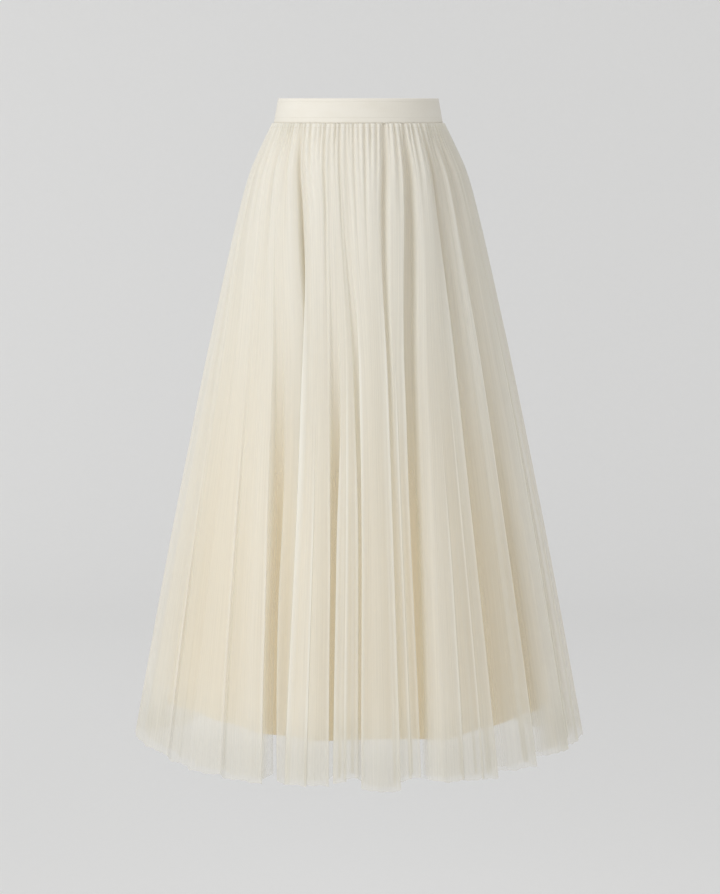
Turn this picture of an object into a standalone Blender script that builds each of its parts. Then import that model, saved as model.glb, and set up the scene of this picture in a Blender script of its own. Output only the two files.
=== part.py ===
"""Maxi skirt: two layers of gathered tulle over a lining, sewn to a wide elastic waistband.

The skirt is hollow, in the pose that it has when it is worn. The origin is the centre of the
waist, halfway up the band. +Z is up, the front faces -Y, and every length is in metres.
"""
from collections import namedtuple
from math import cos, hypot, radians, sin

import bmesh
import bpy

# The waistband
BAND_HEIGHT = 0.035
BAND_WALL = 0.0036
BAND_TOP_HALF_WIDTH = 0.1138
BAND_FOOT_HALF_WIDTH = 0.1201
BAND_DEPTH_RATIO = 0.78
BAND_EDGE_RADIUS = 0.0016
BAND_CORNER_STEPS = 2
BAND_COLUMNS = 56

# The cloth below it
SEAM_GAP = 0.0003
TULLE_WALL = 0.0010
LINING_WALL = 0.0012
TULLE_LENGTH = 0.8935
LINING_LENGTH = 0.8340
HEM_FRONT_DIP = 0.0065
OUTER_COLUMN_DEG = 2.1
INNER_COLUMN_DEG = 3.8
LINING_COLUMN_DEG = 4.2
GATHER_SPAN_DEG = 2.4
INNER_FOLD_SHARE = 0.60
INNER_GATHER_SHARE = 0.25
LINING_FLUTE_TOP = 0.0004
LINING_FLUTE_HEM = 0.0110
MITRE_LIMIT = 1.3

# Levels of the skirt, by their drop below the band. half_width is the outline seen from the
# front, and depth_ratio gives the half depth from it. gather and fold are the depths of the
# small gathers and of the large folds, and inner and lining are the insets of those layers.
Section = namedtuple("Section", "drop half_width depth_ratio gather fold inner lining")
SECTIONS = (
    Section(0.0000, 0.1229, 0.785, 0.0026, 0.0000, 0.0047, 0.0072),
    Section(0.0300, 0.1378, 0.788, 0.0030, 0.0020, 0.0064, 0.0112),
    Section(0.0700, 0.1555, 0.791, 0.0026, 0.0042, 0.0078, 0.0160),
    Section(0.1300, 0.1724, 0.796, 0.0014, 0.0070, 0.0088, 0.0200),
    Section(0.2200, 0.1934, 0.804, 0.0004, 0.0105, 0.0098, 0.0250),
    Section(0.3600, 0.2242, 0.814, 0.0000, 0.0150, 0.0112, 0.0310),
    Section(0.5000, 0.2526, 0.823, 0.0000, 0.0188, 0.0124, 0.0363),
    Section(0.6500, 0.2822, 0.832, 0.0000, 0.0226, 0.0136, 0.0418),
    Section(0.8935, 0.3275, 0.840, 0.0000, 0.0280, 0.0160, 0.0500),
)

# Upright lines of cloth, in order round a panel. The first four numbers are a line's angle from the
# front centre at the drops in LINE_DROPS, and it runs smoothly through them. upper and lower are how
# deep the line lies in its fold near the band and at the hem, as shares of the fold's depth, and
# longer is how much more it hangs there.
Line = namedtuple("Line", "band_deg high_deg mid_deg hem_deg upper lower longer")
LINE_DROPS = (0.0, 0.12, 0.35, 0.8935)
UPPER_END = 0.15
LOWER_START = 0.55
TULLE_FRONT = (
    Line(-90.0, -90.0, -90.0, -90.0, 0.30, 0.12, -0.016),
    Line(-88.5, -88.0, -87.0, -85.0, 0.50, 0.24, -0.017),
    Line(-86.5, -85.5, -83.0, -79.5, 0.10, 0.08, -0.018),
    Line(-84.8, -82.8, -78.5, -73.5, 0.45, 0.24, -0.018),
    Line(-83.0, -80.0, -74.0, -67.5, 0.10, 0.06, -0.017),
    Line(-80.8, -77.0, -69.0, -61.0, 0.45, 0.22, -0.016),
    Line(-78.8, -74.3, -64.4, -56.5, 0.10, 0.05, -0.015),
    Line(-77.3, -72.3, -62.2, -54.6, 0.45, 0.24, -0.009),
    Line(-72.5, -65.5, -54.0, -47.6, 0.35, 0.12, -0.009),
    Line(-71.0, -63.5, -52.3, -46.0, 0.05, 0.02, -0.004),
    Line(-63.0, -56.0, -45.5, -36.7, 0.10, 0.05, -0.004),
    Line(-61.5, -53.5, -43.6, -35.0, 0.60, 0.28, 0.001),
    Line(-60.0, -51.5, -42.0, -33.2, 0.50, 0.22, 0.000),
    Line(-57.0, -48.5, -38.5, -30.3, 0.10, 0.10, 0.000),
    Line(-54.5, -46.0, -36.0, -27.5, 0.00, 0.00, 0.000),
    Line(-52.0, -43.8, -33.0, -24.7, 0.15, 0.08, 0.001),
    Line(-50.8, -42.8, -32.0, -23.9, 0.95, 0.92, -0.003),
    Line(-49.5, -41.0, -29.5, -20.9, 0.75, 0.92, -0.003),
    Line(-48.5, -39.5, -27.5, -20.2, 0.20, 0.50, 0.000),
    Line(-45.5, -34.5, -24.0, -18.9, 0.00, 0.42, 0.003),
    Line(-42.6, -31.0, -21.6, -18.3, 0.25, 0.40, 0.003),
    Line(-40.8, -29.0, -20.5, -17.9, 1.50, 0.38, 0.002),
    Line(-38.8, -26.8, -19.3, -17.4, 0.30, 0.08, 0.002),
    Line(-35.5, -23.5, -16.8, -14.5, 0.00, 0.00, 0.001),
    Line(-28.0, -18.5, -13.5, -11.0, 0.05, 0.04, 0.002),
    Line(-19.6, -14.6, -10.4, -7.9, 0.20, 0.10, 0.004),
    Line(-18.3, -13.5, -9.5, -7.1, 0.95, 0.85, -0.003),
    Line(-17.0, -11.8, -7.3, -6.1, 0.80, 0.85, -0.004),
    Line(-15.9, -10.6, -6.3, -5.5, 0.20, 0.15, -0.006),
    Line(-13.5, -8.8, -4.0, -3.0, 0.00, 0.05, -0.007),
    Line(-11.3, -7.7, -2.0, -0.7, 0.20, 0.12, -0.007),
    Line(-10.3, -6.9, -1.0, 0.0, 1.10, 0.50, -0.007),
    Line(-9.2, -5.6, 0.3, 0.8, 0.90, 0.45, -0.005),
    Line(-7.8, -3.6, 1.6, 1.7, 0.15, 0.08, 0.001),
    Line(2.5, 3.0, 5.0, 5.2, 0.00, 0.00, 0.006),
    Line(14.8, 10.3, 9.7, 9.6, 0.10, 0.10, 0.004),
    Line(16.8, 11.9, 10.8, 10.5, 1.35, 0.45, -0.002),
    Line(20.6, 15.4, 12.8, 12.2, 0.15, 0.30, -0.006),
    Line(25.5, 21.8, 15.6, 14.5, 0.12, 0.28, -0.007),
    Line(28.3, 23.6, 16.8, 15.2, 1.70, 0.95, -0.006),
    Line(31.5, 27.0, 20.4, 16.3, 1.60, 0.85, -0.005),
    Line(34.0, 29.6, 22.6, 17.7, 0.25, 0.26, -0.003),
    Line(38.0, 32.8, 25.8, 21.0, 0.00, 0.00, -0.002),
    Line(42.0, 36.8, 32.0, 28.5, 0.00, 0.05, -0.001),
    Line(46.0, 41.0, 37.4, 35.9, 0.15, 0.16, -0.001),
    Line(47.5, 43.0, 39.0, 37.2, 1.30, 0.75, -0.005),
    Line(50.5, 46.8, 43.0, 41.0, 0.70, 0.52, -0.005),
    Line(53.5, 50.0, 47.5, 45.5, 0.20, 0.26, -0.006),
    Line(56.3, 53.0, 51.0, 49.5, 0.10, 0.12, -0.007),
    Line(57.8, 54.6, 52.7, 50.9, 0.90, 0.58, -0.012),
    Line(61.5, 59.5, 58.0, 56.0, 0.60, 0.42, -0.014),
    Line(67.0, 65.5, 64.0, 61.0, 0.20, 0.20, -0.015),
    Line(73.5, 71.0, 68.6, 65.0, 0.10, 0.10, -0.016),
    Line(74.9, 72.6, 70.4, 66.5, 0.60, 0.45, -0.017),
    Line(77.5, 75.6, 74.0, 70.5, 0.30, 0.30, -0.017),
    Line(81.0, 79.4, 78.0, 75.0, 0.10, 0.08, -0.017),
    Line(82.4, 80.9, 79.6, 76.6, 0.45, 0.35, -0.017),
    Line(85.0, 84.0, 83.2, 81.8, 0.25, 0.20, -0.016),
    Line(87.5, 87.0, 86.6, 86.0, 0.10, 0.05, -0.016),
    Line(90.0, 90.0, 90.0, 90.0, 0.30, 0.12, -0.016),
)
TULLE_BACK = (
    Line(90.0, 90.0, 90.0, 90.0, 0.30, 0.15, -0.016),
    Line(94.0, 94.2, 94.6, 95.0, 0.10, 0.05, -0.015),
    Line(98.5, 98.8, 99.4, 100.2, 0.15, 0.12, -0.014),
    Line(100.0, 100.4, 101.0, 101.8, 0.80, 0.60, -0.009),
    Line(104.0, 104.4, 105.0, 105.8, 0.50, 0.40, -0.008),
    Line(109.0, 109.3, 109.8, 110.5, 0.05, 0.00, -0.006),
    Line(113.5, 113.8, 114.5, 115.6, 0.15, 0.15, -0.006),
    Line(115.0, 115.4, 116.2, 117.3, 1.00, 0.70, -0.001),
    Line(118.5, 118.8, 119.6, 120.9, 0.60, 0.66, 0.002),
    Line(120.5, 120.8, 121.6, 122.8, 0.15, 0.20, 0.003),
    Line(126.0, 126.0, 126.2, 126.5, 0.00, 0.00, 0.004),
    Line(131.0, 130.6, 130.4, 130.2, 0.15, 0.12, 0.002),
    Line(132.6, 132.2, 131.9, 131.7, 0.90, 0.62, 0.000),
    Line(137.5, 137.0, 136.6, 136.2, 0.40, 0.35, -0.003),
    Line(142.0, 141.4, 140.8, 140.0, 0.05, 0.05, -0.004),
    Line(146.5, 145.8, 145.0, 144.2, 0.20, 0.15, -0.003),
    Line(148.2, 147.4, 146.5, 145.6, 1.20, 0.80, -0.001),
    Line(151.5, 150.6, 149.4, 148.6, 0.80, 0.76, 0.001),
    Line(153.5, 152.5, 151.2, 150.2, 0.20, 0.15, 0.002),
    Line(159.0, 157.8, 156.4, 155.2, 0.00, 0.00, 0.002),
    Line(165.0, 163.8, 162.2, 161.2, 0.15, 0.14, 0.001),
    Line(166.6, 165.4, 163.8, 162.8, 0.80, 0.55, 0.002),
    Line(171.0, 169.8, 168.4, 167.4, 0.40, 0.35, 0.004),
    Line(176.0, 175.0, 174.0, 173.2, 0.05, 0.00, 0.005),
    Line(181.0, 180.2, 179.4, 178.8, 0.15, 0.12, 0.003),
    Line(182.8, 182.0, 181.2, 180.6, 1.30, 0.85, 0.001),
    Line(186.0, 185.4, 184.8, 184.2, 0.90, 0.80, -0.001),
    Line(188.0, 187.4, 186.8, 186.2, 0.20, 0.18, -0.002),
    Line(194.0, 193.2, 192.4, 191.6, 0.00, 0.00, -0.003),
    Line(200.0, 199.4, 198.6, 197.6, 0.15, 0.12, -0.001),
    Line(201.8, 201.2, 200.4, 199.4, 0.70, 0.50, 0.001),
    Line(206.5, 206.0, 205.2, 204.4, 0.30, 0.30, 0.002),
    Line(211.0, 210.6, 210.0, 209.2, 0.00, 0.00, 0.003),
    Line(216.0, 215.8, 215.4, 214.8, 0.20, 0.15, 0.001),
    Line(217.8, 217.6, 217.2, 216.6, 1.10, 0.75, -0.001),
    Line(221.0, 220.9, 220.8, 220.4, 0.80, 0.70, -0.003),
    Line(223.0, 223.0, 222.8, 222.4, 0.20, 0.20, -0.004),
    Line(229.0, 229.0, 228.9, 228.6, 0.00, 0.00, -0.004),
    Line(234.5, 234.5, 234.4, 234.4, 0.15, 0.12, -0.002),
    Line(236.0, 236.0, 236.1, 236.1, 0.80, 0.55, 0.000),
    Line(241.0, 241.0, 241.2, 241.5, 0.30, 0.30, 0.001),
    Line(245.5, 245.6, 246.0, 246.6, 0.05, 0.00, -0.003),
    Line(250.5, 250.8, 251.6, 252.4, 0.20, 0.15, -0.004),
    Line(252.0, 252.4, 253.2, 254.0, 0.90, 0.60, -0.009),
    Line(256.0, 256.6, 257.4, 258.2, 0.40, 0.35, -0.010),
    Line(260.5, 261.0, 262.0, 263.0, 0.05, 0.05, -0.013),
    Line(265.5, 266.0, 266.5, 267.0, 0.20, 0.12, -0.015),
    Line(270.0, 270.0, 270.0, 270.0, 0.30, 0.15, -0.016),
)
LINING_FRONT = (
    Line(-90.0, -90.0, -90.0, -90.0, 0.00, 0.00, 0.004),
    Line(-80.0, -79.5, -79.1, -78.5, 0.70, 0.70, -0.004),
    Line(-70.0, -69.1, -68.1, -67.0, 0.00, 0.00, -0.012),
    Line(-60.0, -58.6, -57.2, -55.5, 0.90, 0.90, -0.010),
    Line(-50.0, -48.8, -47.5, -46.0, 0.00, 0.00, -0.008),
    Line(-40.5, -39.6, -38.6, -37.5, 0.80, 0.80, -0.003),
    Line(-31.0, -30.4, -29.8, -29.0, 0.00, 0.00, 0.002),
    Line(-21.5, -20.9, -20.2, -19.4, 1.00, 1.00, 0.005),
    Line(-12.0, -12.3, -12.6, -13.0, 0.00, 0.00, 0.008),
    Line(-2.0, -2.3, -2.6, -3.0, 0.70, 0.70, 0.006),
    Line(8.0, 7.7, 7.4, 7.0, 0.00, 0.00, 0.004),
    Line(17.5, 16.9, 16.3, 15.6, 0.80, 0.80, 0.007),
    Line(27.0, 26.7, 26.4, 26.0, 0.00, 0.00, 0.010),
    Line(37.0, 36.7, 36.4, 36.0, 0.90, 0.90, 0.004),
    Line(47.0, 46.7, 46.4, 46.0, 0.00, 0.00, -0.003),
    Line(57.5, 57.5, 57.5, 57.5, 1.00, 1.00, -0.005),
    Line(68.0, 67.7, 67.4, 67.0, 0.00, 0.00, -0.006),
    Line(79.0, 78.8, 78.7, 78.5, 0.80, 0.80, -0.003),
    Line(90.0, 90.0, 90.0, 90.0, 0.00, 0.00, 0.000),
)
LINING_BACK = (
    Line(90.0, 90.0, 90.0, 90.0, 0.00, 0.00, 0.000),
    Line(103.0, 103.2, 103.3, 103.5, 0.90, 0.90, 0.002),
    Line(116.0, 116.3, 116.6, 117.0, 0.00, 0.00, 0.004),
    Line(129.0, 129.4, 129.7, 130.2, 1.00, 1.00, 0.000),
    Line(142.0, 141.7, 141.4, 141.0, 0.00, 0.00, -0.004),
    Line(154.5, 154.1, 153.7, 153.2, 0.90, 0.90, -0.001),
    Line(167.0, 167.3, 167.6, 168.0, 0.00, 0.00, 0.003),
    Line(180.0, 180.2, 180.3, 180.5, 1.00, 1.00, 0.000),
    Line(193.0, 192.7, 192.4, 192.0, 0.00, 0.00, -0.003),
    Line(206.0, 205.6, 205.1, 204.5, 0.85, 0.85, -0.001),
    Line(219.0, 218.7, 218.4, 218.0, 0.00, 0.00, 0.002),
    Line(231.5, 231.9, 232.3, 232.8, 1.00, 1.00, 0.000),
    Line(244.0, 244.3, 244.6, 245.0, 0.00, 0.00, -0.002),
    Line(257.0, 257.1, 257.3, 257.5, 0.90, 0.90, 0.001),
    Line(270.0, 270.0, 270.0, 270.0, 0.00, 0.00, 0.004),
)

# Colours as linear red, green and blue
BAND_COLOUR = (0.775, 0.730, 0.635)
OUTER_TULLE_COLOUR = (0.760, 0.715, 0.610)
INNER_TULLE_COLOUR = (0.720, 0.665, 0.545)
LINING_COLOUR = (0.605, 0.490, 0.335)

# One level of one layer: the ring's half width and half depth, and how far the cloth lies
# inside it on a crest, and beyond that in a full fold and in a gather
Level = namedtuple("Level", "drop half_width half_depth inset fold gather")
# One column of a panel's mesh: a line of cloth, and 1 where it lies in a small gather or 0
Column = namedtuple("Column", "line gather")


def blend(start, end, share):
    """Value at a share of the way from start to end."""
    return start + (end - start) * share


def ease(share):
    """The same share, leaving 0 and reaching 1 gently."""
    share = min(max(share, 0.0), 1.0)
    return share * share * (3.0 - 2.0 * share)


def between(here, after, share):
    """The line of cloth at a share of the way between two others, whose depths it joins softly."""
    places = [blend(here[i], after[i], share) for i in range(len(LINE_DROPS))]
    return Line(*places, blend(here.upper, after.upper, ease(share)),
                blend(here.lower, after.lower, ease(share)), blend(here.longer, after.longer, share))


def panel_columns(lines, spacing):
    """Columns of one panel: its lines, and more where two of them lie far apart."""
    columns = []
    for here, after in zip(lines, lines[1:]):
        span = max(after.band_deg - here.band_deg, after.hem_deg - here.hem_deg)
        gathered = after.band_deg - here.band_deg > GATHER_SPAN_DEG
        steps = max(1, round(span / spacing))
        if gathered and steps == 1:
            steps = 2
        for step in range(steps):
            gather = step % 2 if gathered else 0
            columns.append(Column(between(here, after, step / steps), gather))
    columns.append(Column(lines[-1], 0))
    return columns


def line_angle(line, drop):
    """Angle of a line of cloth at a drop, on a smooth curve through its four angles."""
    places = line[:len(LINE_DROPS)]
    slopes = []
    for index in range(len(LINE_DROPS)):
        before = max(index - 1, 0)
        after = min(index + 1, len(LINE_DROPS) - 1)
        slopes.append((places[after] - places[before]) / (LINE_DROPS[after] - LINE_DROPS[before]))
    index = 0
    while index < len(LINE_DROPS) - 2 and drop > LINE_DROPS[index + 1]:
        index += 1
    span = LINE_DROPS[index + 1] - LINE_DROPS[index]
    share = (drop - LINE_DROPS[index]) / span
    start_pull = share * (1.0 - share) ** 2 * span * slopes[index]
    end_pull = share ** 2 * (share - 1.0) * span * slopes[index + 1]
    return blend(places[index], places[index + 1], ease(share)) + start_pull + end_pull


def fold_depth(line, drop):
    """How deep a line of cloth lies in its fold at a drop, as a share of the fold's full depth."""
    share = (drop - UPPER_END) / (LOWER_START - UPPER_END)
    return blend(line.upper, line.lower, ease(share))


def outer_levels():
    """Levels of the outer tulle, whose crests lie on the outline."""
    return [Level(row.drop, row.half_width, row.half_width * row.depth_ratio,
                  TULLE_WALL / 2.0, row.fold, row.gather) for row in SECTIONS]


def inner_levels():
    """Levels of the inner tulle, which follows the outer folds at a clear distance."""
    return [Level(row.drop, row.half_width, row.half_width * row.depth_ratio,
                  row.inner, row.fold * INNER_FOLD_SHARE, row.gather * INNER_GATHER_SHARE)
            for row in SECTIONS]


def lining_levels():
    """Levels of the lining, which hangs straighter than the tulle and ends above its hem."""
    levels = []
    for row in SECTIONS[::2] + SECTIONS[-1:]:
        share = row.drop / TULLE_LENGTH
        flute = blend(LINING_FLUTE_TOP, LINING_FLUTE_HEM, share)
        levels.append(Level(LINING_LENGTH * share, row.half_width, row.half_width * row.depth_ratio,
                            row.lining, flute, 0.0))
    return levels


def ring_point(level, degrees, inset):
    """Point of a level's ellipse at an angle from the front, moved inwards along its normal."""
    angle = radians(degrees)
    x = level.half_width * sin(angle)
    y = -level.half_depth * cos(angle)
    normal_x = sin(angle) / level.half_width
    normal_y = -cos(angle) / level.half_depth
    size = hypot(normal_x, normal_y)
    return x - inset * normal_x / size, y - inset * normal_y / size


def middle_line(level, columns):
    """Points in the middle of the cloth's wall, all along one level of a panel."""
    points = []
    for column in columns:
        inset = level.inset + level.fold * fold_depth(column.line, level.drop)
        inset += level.gather * column.gather
        points.append(ring_point(level, line_angle(column.line, level.drop), inset))
    return points


def wall_lines(points, wall):
    """Outer and inner lines half a wall to either side of a panel's middle line."""
    outer = []
    inner = []
    last = len(points) - 1
    for index, (x, y) in enumerate(points):
        before = points[max(index - 1, 0)]
        after = points[min(index + 1, last)]
        first_x, first_y = unit(x - before[0], y - before[1])
        second_x, second_y = unit(after[0] - x, after[1] - y)
        if index in (0, last):
            along_x, along_y = 0.0, first_y + second_y
        else:
            along_x, along_y = first_x + second_x, first_y + second_y
        size = hypot(along_x, along_y)
        mitre = 1.0 if index in (0, last) else min(2.0 / size, MITRE_LIMIT)
        out_x = along_y / size * mitre * wall / 2.0
        out_y = -along_x / size * mitre * wall / 2.0
        outer.append((x + out_x, y + out_y))
        inner.append((x - out_x, y - out_y))
    return outer, inner


def unit(x, y):
    """The same direction with a length of 1, or nothing where there is none."""
    size = hypot(x, y)
    return (x / size, y / size) if size else (0.0, 0.0)


def open_seam(points, front):
    """The same line with both of its ends moved back from the side seams by half of the gap."""
    side = -1.0 if front else 1.0
    moved = list(points)
    moved[0] = (points[0][0], side * SEAM_GAP / 2.0)
    moved[-1] = (points[-1][0], side * SEAM_GAP / 2.0)
    return moved


def panel_mesh(name, levels, columns, wall, length, front):
    """Closed wall of one panel, from the band to the hem and from one side seam to the other."""
    top = -BAND_HEIGHT / 2.0 - SEAM_GAP
    mesh = bmesh.new()
    outer_rows = []
    inner_rows = []
    for level in levels:
        points = open_seam(middle_line(level, columns), front)
        outer, inner = wall_lines(points, wall)
        heights = []
        for column in columns:
            dip = HEM_FRONT_DIP * abs(cos(radians(column.line.hem_deg)))
            heights.append(top - level.drop * (1.0 + (column.line.longer + dip) / length))
        outer_rows.append([mesh.verts.new((x, y, z)) for (x, y), z in zip(outer, heights)])
        inner_rows.append([mesh.verts.new((x, y, z)) for (x, y), z in zip(inner, heights)])
    for row in range(len(levels) - 1):
        for index in range(len(columns) - 1):
            quad(mesh, outer_rows, row, index, flip=False)
            quad(mesh, inner_rows, row, index, flip=True)
        for index in (0, len(columns) - 1):
            mesh.faces.new((outer_rows[row][index], outer_rows[row + 1][index],
                            inner_rows[row + 1][index], inner_rows[row][index]))
    for row in (0, len(levels) - 1):
        for index in range(len(columns) - 1):
            mesh.faces.new((outer_rows[row][index], inner_rows[row][index],
                            inner_rows[row][index + 1], outer_rows[row][index + 1]))
    bmesh.ops.recalc_face_normals(mesh, faces=mesh.faces)
    data = bpy.data.meshes.new(name)
    mesh.to_mesh(data)
    mesh.free()
    return data


def quad(mesh, rows, row, index, flip):
    """One face between two levels and two columns."""
    corners = [rows[row][index], rows[row + 1][index],
               rows[row + 1][index + 1], rows[row][index + 1]]
    if flip:
        corners.reverse()
    mesh.faces.new(corners)


def band_profile():
    """Rounded section of the band, as pairs of inset from its outer face and height."""
    half = BAND_HEIGHT / 2.0
    corners = (
        (BAND_EDGE_RADIUS, half - BAND_EDGE_RADIUS, 180.0),
        (BAND_WALL - BAND_EDGE_RADIUS, half - BAND_EDGE_RADIUS, 90.0),
        (BAND_WALL - BAND_EDGE_RADIUS, BAND_EDGE_RADIUS - half, 0.0),
        (BAND_EDGE_RADIUS, BAND_EDGE_RADIUS - half, -90.0),
    )
    profile = []
    for inset, height, start in corners:
        for step in range(BAND_CORNER_STEPS + 1):
            angle = radians(start - 90.0 * step / BAND_CORNER_STEPS)
            profile.append((inset + BAND_EDGE_RADIUS * cos(angle),
                            height + BAND_EDGE_RADIUS * sin(angle)))
    return profile


def band_mesh(name):
    """The waistband: one closed loop of elastic, a little wider at its foot."""
    mesh = bmesh.new()
    rings = []
    for column in range(BAND_COLUMNS):
        degrees = 360.0 * column / BAND_COLUMNS
        ring = []
        for inset, height in band_profile():
            share = 0.5 - height / BAND_HEIGHT
            half_width = blend(BAND_TOP_HALF_WIDTH, BAND_FOOT_HALF_WIDTH, share)
            level = Level(0.0, half_width, half_width * BAND_DEPTH_RATIO, 0.0, 0.0, 0.0)
            x, y = ring_point(level, degrees, inset)
            ring.append(mesh.verts.new((x, y, height)))
        rings.append(ring)
    for index, ring in enumerate(rings):
        after = rings[(index + 1) % len(rings)]
        for side in range(len(ring)):
            following = (side + 1) % len(ring)
            mesh.faces.new((ring[side], ring[following], after[following], after[side]))
    bmesh.ops.recalc_face_normals(mesh, faces=mesh.faces)
    data = bpy.data.meshes.new(name)
    mesh.to_mesh(data)
    mesh.free()
    return data


def cloth_material(name, colour, roughness, sheen):
    """Plain woven or netted cloth."""
    material = bpy.data.materials.new(name)
    material.use_nodes = True
    shader = material.node_tree.nodes["Principled BSDF"]
    shader.inputs["Base Color"].default_value = (*colour, 1.0)
    shader.inputs["Roughness"].default_value = roughness
    shader.inputs["Metallic"].default_value = 0.0
    shader.inputs["Sheen Weight"].default_value = sheen
    return material


def place(name, data, material, parent):
    """One named sub-part, smooth between its sharp edges, held by the skirt's empty."""
    data.materials.append(material)
    part = bpy.data.objects.new(name, data)
    bpy.context.scene.collection.objects.link(part)
    part.parent = parent
    data.shade_smooth()
    data.set_sharp_from_angle(angle=radians(60.0))
    return part


def add_tulle(parent):
    """Both tulle layers, a front and a back panel each, sewn at the sides."""
    layers = (
        ("tulle_outer", outer_levels(), OUTER_COLUMN_DEG,
         cloth_material("outer_tulle", OUTER_TULLE_COLOUR, 0.75, 0.3)),
        ("tulle_inner", inner_levels(), INNER_COLUMN_DEG,
         cloth_material("inner_tulle", INNER_TULLE_COLOUR, 0.75, 0.3)),
    )
    for layer, levels, spacing, material in layers:
        for side, lines in (("front", TULLE_FRONT), ("back", TULLE_BACK)):
            name = f"{layer}_{side}"
            data = panel_mesh(name, levels, panel_columns(lines, spacing), TULLE_WALL,
                              TULLE_LENGTH, front=side == "front")
            place(name, data, material, parent)


def add_lining(parent):
    """The opaque lining, a front and a back panel with soft flutes."""
    material = cloth_material("lining", LINING_COLOUR, 0.6, 0.1)
    for side, lines in (("front", LINING_FRONT), ("back", LINING_BACK)):
        name = f"lining_{side}"
        columns = panel_columns(lines, LINING_COLUMN_DEG)
        data = panel_mesh(name, lining_levels(), columns, LINING_WALL,
                          LINING_LENGTH, front=side == "front")
        place(name, data, material, parent)


def add_waistband(parent):
    """The elastic band that holds every layer."""
    material = cloth_material("elastic", BAND_COLOUR, 0.8, 0.2)
    place("waistband", band_mesh("waistband"), material, parent)


def main():
    """Build the skirt under one empty at the centre of the waist."""
    for item in list(bpy.data.objects):
        bpy.data.objects.remove(item)
    skirt = bpy.data.objects.new("skirt", None)
    bpy.context.scene.collection.objects.link(skirt)
    add_waistband(skirt)
    add_tulle(skirt)
    add_lining(skirt)


main()
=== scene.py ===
"""Looks of the gathered tulle maxi skirt: two sheer net layers over a warm lining, on elastic.

Every size is in metres and every angle in degrees. Angles go round the skirt from the middle of
its front, which faces -Y, towards +X, and the middle of the waist is the origin.
"""
from __future__ import annotations

import logging
import math
from dataclasses import dataclass
from enum import Enum
from typing import NamedTuple

import bpy
import numpy as np
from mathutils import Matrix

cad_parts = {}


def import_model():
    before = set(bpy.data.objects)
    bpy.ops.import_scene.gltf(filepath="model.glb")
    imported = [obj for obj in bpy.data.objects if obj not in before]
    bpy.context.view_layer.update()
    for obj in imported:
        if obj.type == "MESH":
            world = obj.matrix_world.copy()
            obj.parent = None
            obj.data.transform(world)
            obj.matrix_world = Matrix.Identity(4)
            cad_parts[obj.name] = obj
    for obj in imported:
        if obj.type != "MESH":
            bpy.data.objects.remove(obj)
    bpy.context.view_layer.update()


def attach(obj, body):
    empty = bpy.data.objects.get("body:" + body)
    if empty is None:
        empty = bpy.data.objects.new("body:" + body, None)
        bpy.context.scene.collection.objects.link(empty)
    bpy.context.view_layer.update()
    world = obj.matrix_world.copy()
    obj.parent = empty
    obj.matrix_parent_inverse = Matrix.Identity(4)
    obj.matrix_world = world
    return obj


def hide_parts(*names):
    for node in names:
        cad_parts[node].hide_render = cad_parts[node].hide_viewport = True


LOG = logging.getLogger("skirt")
BODY = "root"
Colour = tuple[float, float, float]


class Side(Enum):
    """The two panels that each layer is cut in."""

    FRONT = "front"
    BACK = "back"


class Facing(Enum):
    """The side on which a fold's outer edge lies, as seen from outside."""

    LEFT = -1.0
    RIGHT = 1.0


class Section(NamedTuple):
    """One level of the skirt, with the insets of the layers from its outline."""

    drop: float
    half_width: float
    depth_ratio: float
    gather: float
    fold: float
    inner: float
    lining: float


class Line(NamedTuple):
    """One upright line of cloth, placed by its angles at the drops in LINE_DROPS.

    upper and lower are how deep it lies in its fold near the band and at the hem, as shares of
    the fold's depth. longer is how much more it hangs, and cover how closely its threads lie.
    """

    band_deg: float
    high_deg: float
    mid_deg: float
    hem_deg: float
    upper: float
    lower: float
    longer: float
    cover: float = 1.0


class Crease(NamedTuple):
    """One sharp fold where the cloth turns back under itself, placed by its angle at the hem."""

    hem_deg: float
    start: float
    half_width: float
    lap: float
    depth: float
    facing: Facing


class Gather(NamedTuple):
    """One small valley under the band: its angle and half width there, its depth and its reach."""

    band_deg: float
    half_width: float
    depth: float
    reach: float


class Lamp(NamedTuple):
    """One square soft light: where it hangs, what it faces, its side and its power in watts."""

    name: str
    place: tuple[float, float, float]
    target: tuple[float, float, float]
    size: float
    power: float


LAMPS = (
    Lamp("key_light", (-2.6, -1.9, 2.0), (0.0, 0.0, 0.2), 2.0, 84.0),
    Lamp("front_fill", (2.0, -3.4, 2.0), (0.0, 0.0, 0.1), 2.2, 33.0),
    Lamp("left_wall_light", (-3.2, 3.6, 0.4), (-1.0, 7.0, -0.9), 2.0, 15.0),
    Lamp("right_wall_light", (3.2, 3.6, 0.4), (1.0, 7.0, -0.9), 2.0, 6.0),
)
SECTIONS = (
    Section(0.0000, 0.1229, 0.785, 0.0026, 0.0000, 0.0047, 0.0072),
    Section(0.0300, 0.1378, 0.788, 0.0030, 0.0020, 0.0064, 0.0112),
    Section(0.0700, 0.1555, 0.791, 0.0026, 0.0042, 0.0078, 0.0160),
    Section(0.1300, 0.1724, 0.796, 0.0014, 0.0070, 0.0088, 0.0200),
    Section(0.2200, 0.1934, 0.804, 0.0004, 0.0105, 0.0098, 0.0250),
    Section(0.3600, 0.2242, 0.814, 0.0000, 0.0150, 0.0112, 0.0310),
    Section(0.5000, 0.2526, 0.823, 0.0000, 0.0188, 0.0124, 0.0363),
    Section(0.6500, 0.2822, 0.832, 0.0000, 0.0226, 0.0136, 0.0418),
    Section(0.8935, 0.3275, 0.840, 0.0000, 0.0280, 0.0160, 0.0500),
)
LINE_DROPS = (0.0, 0.12, 0.35, 0.8935)
UPPER_END = 0.15
LOWER_START = 0.55
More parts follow.
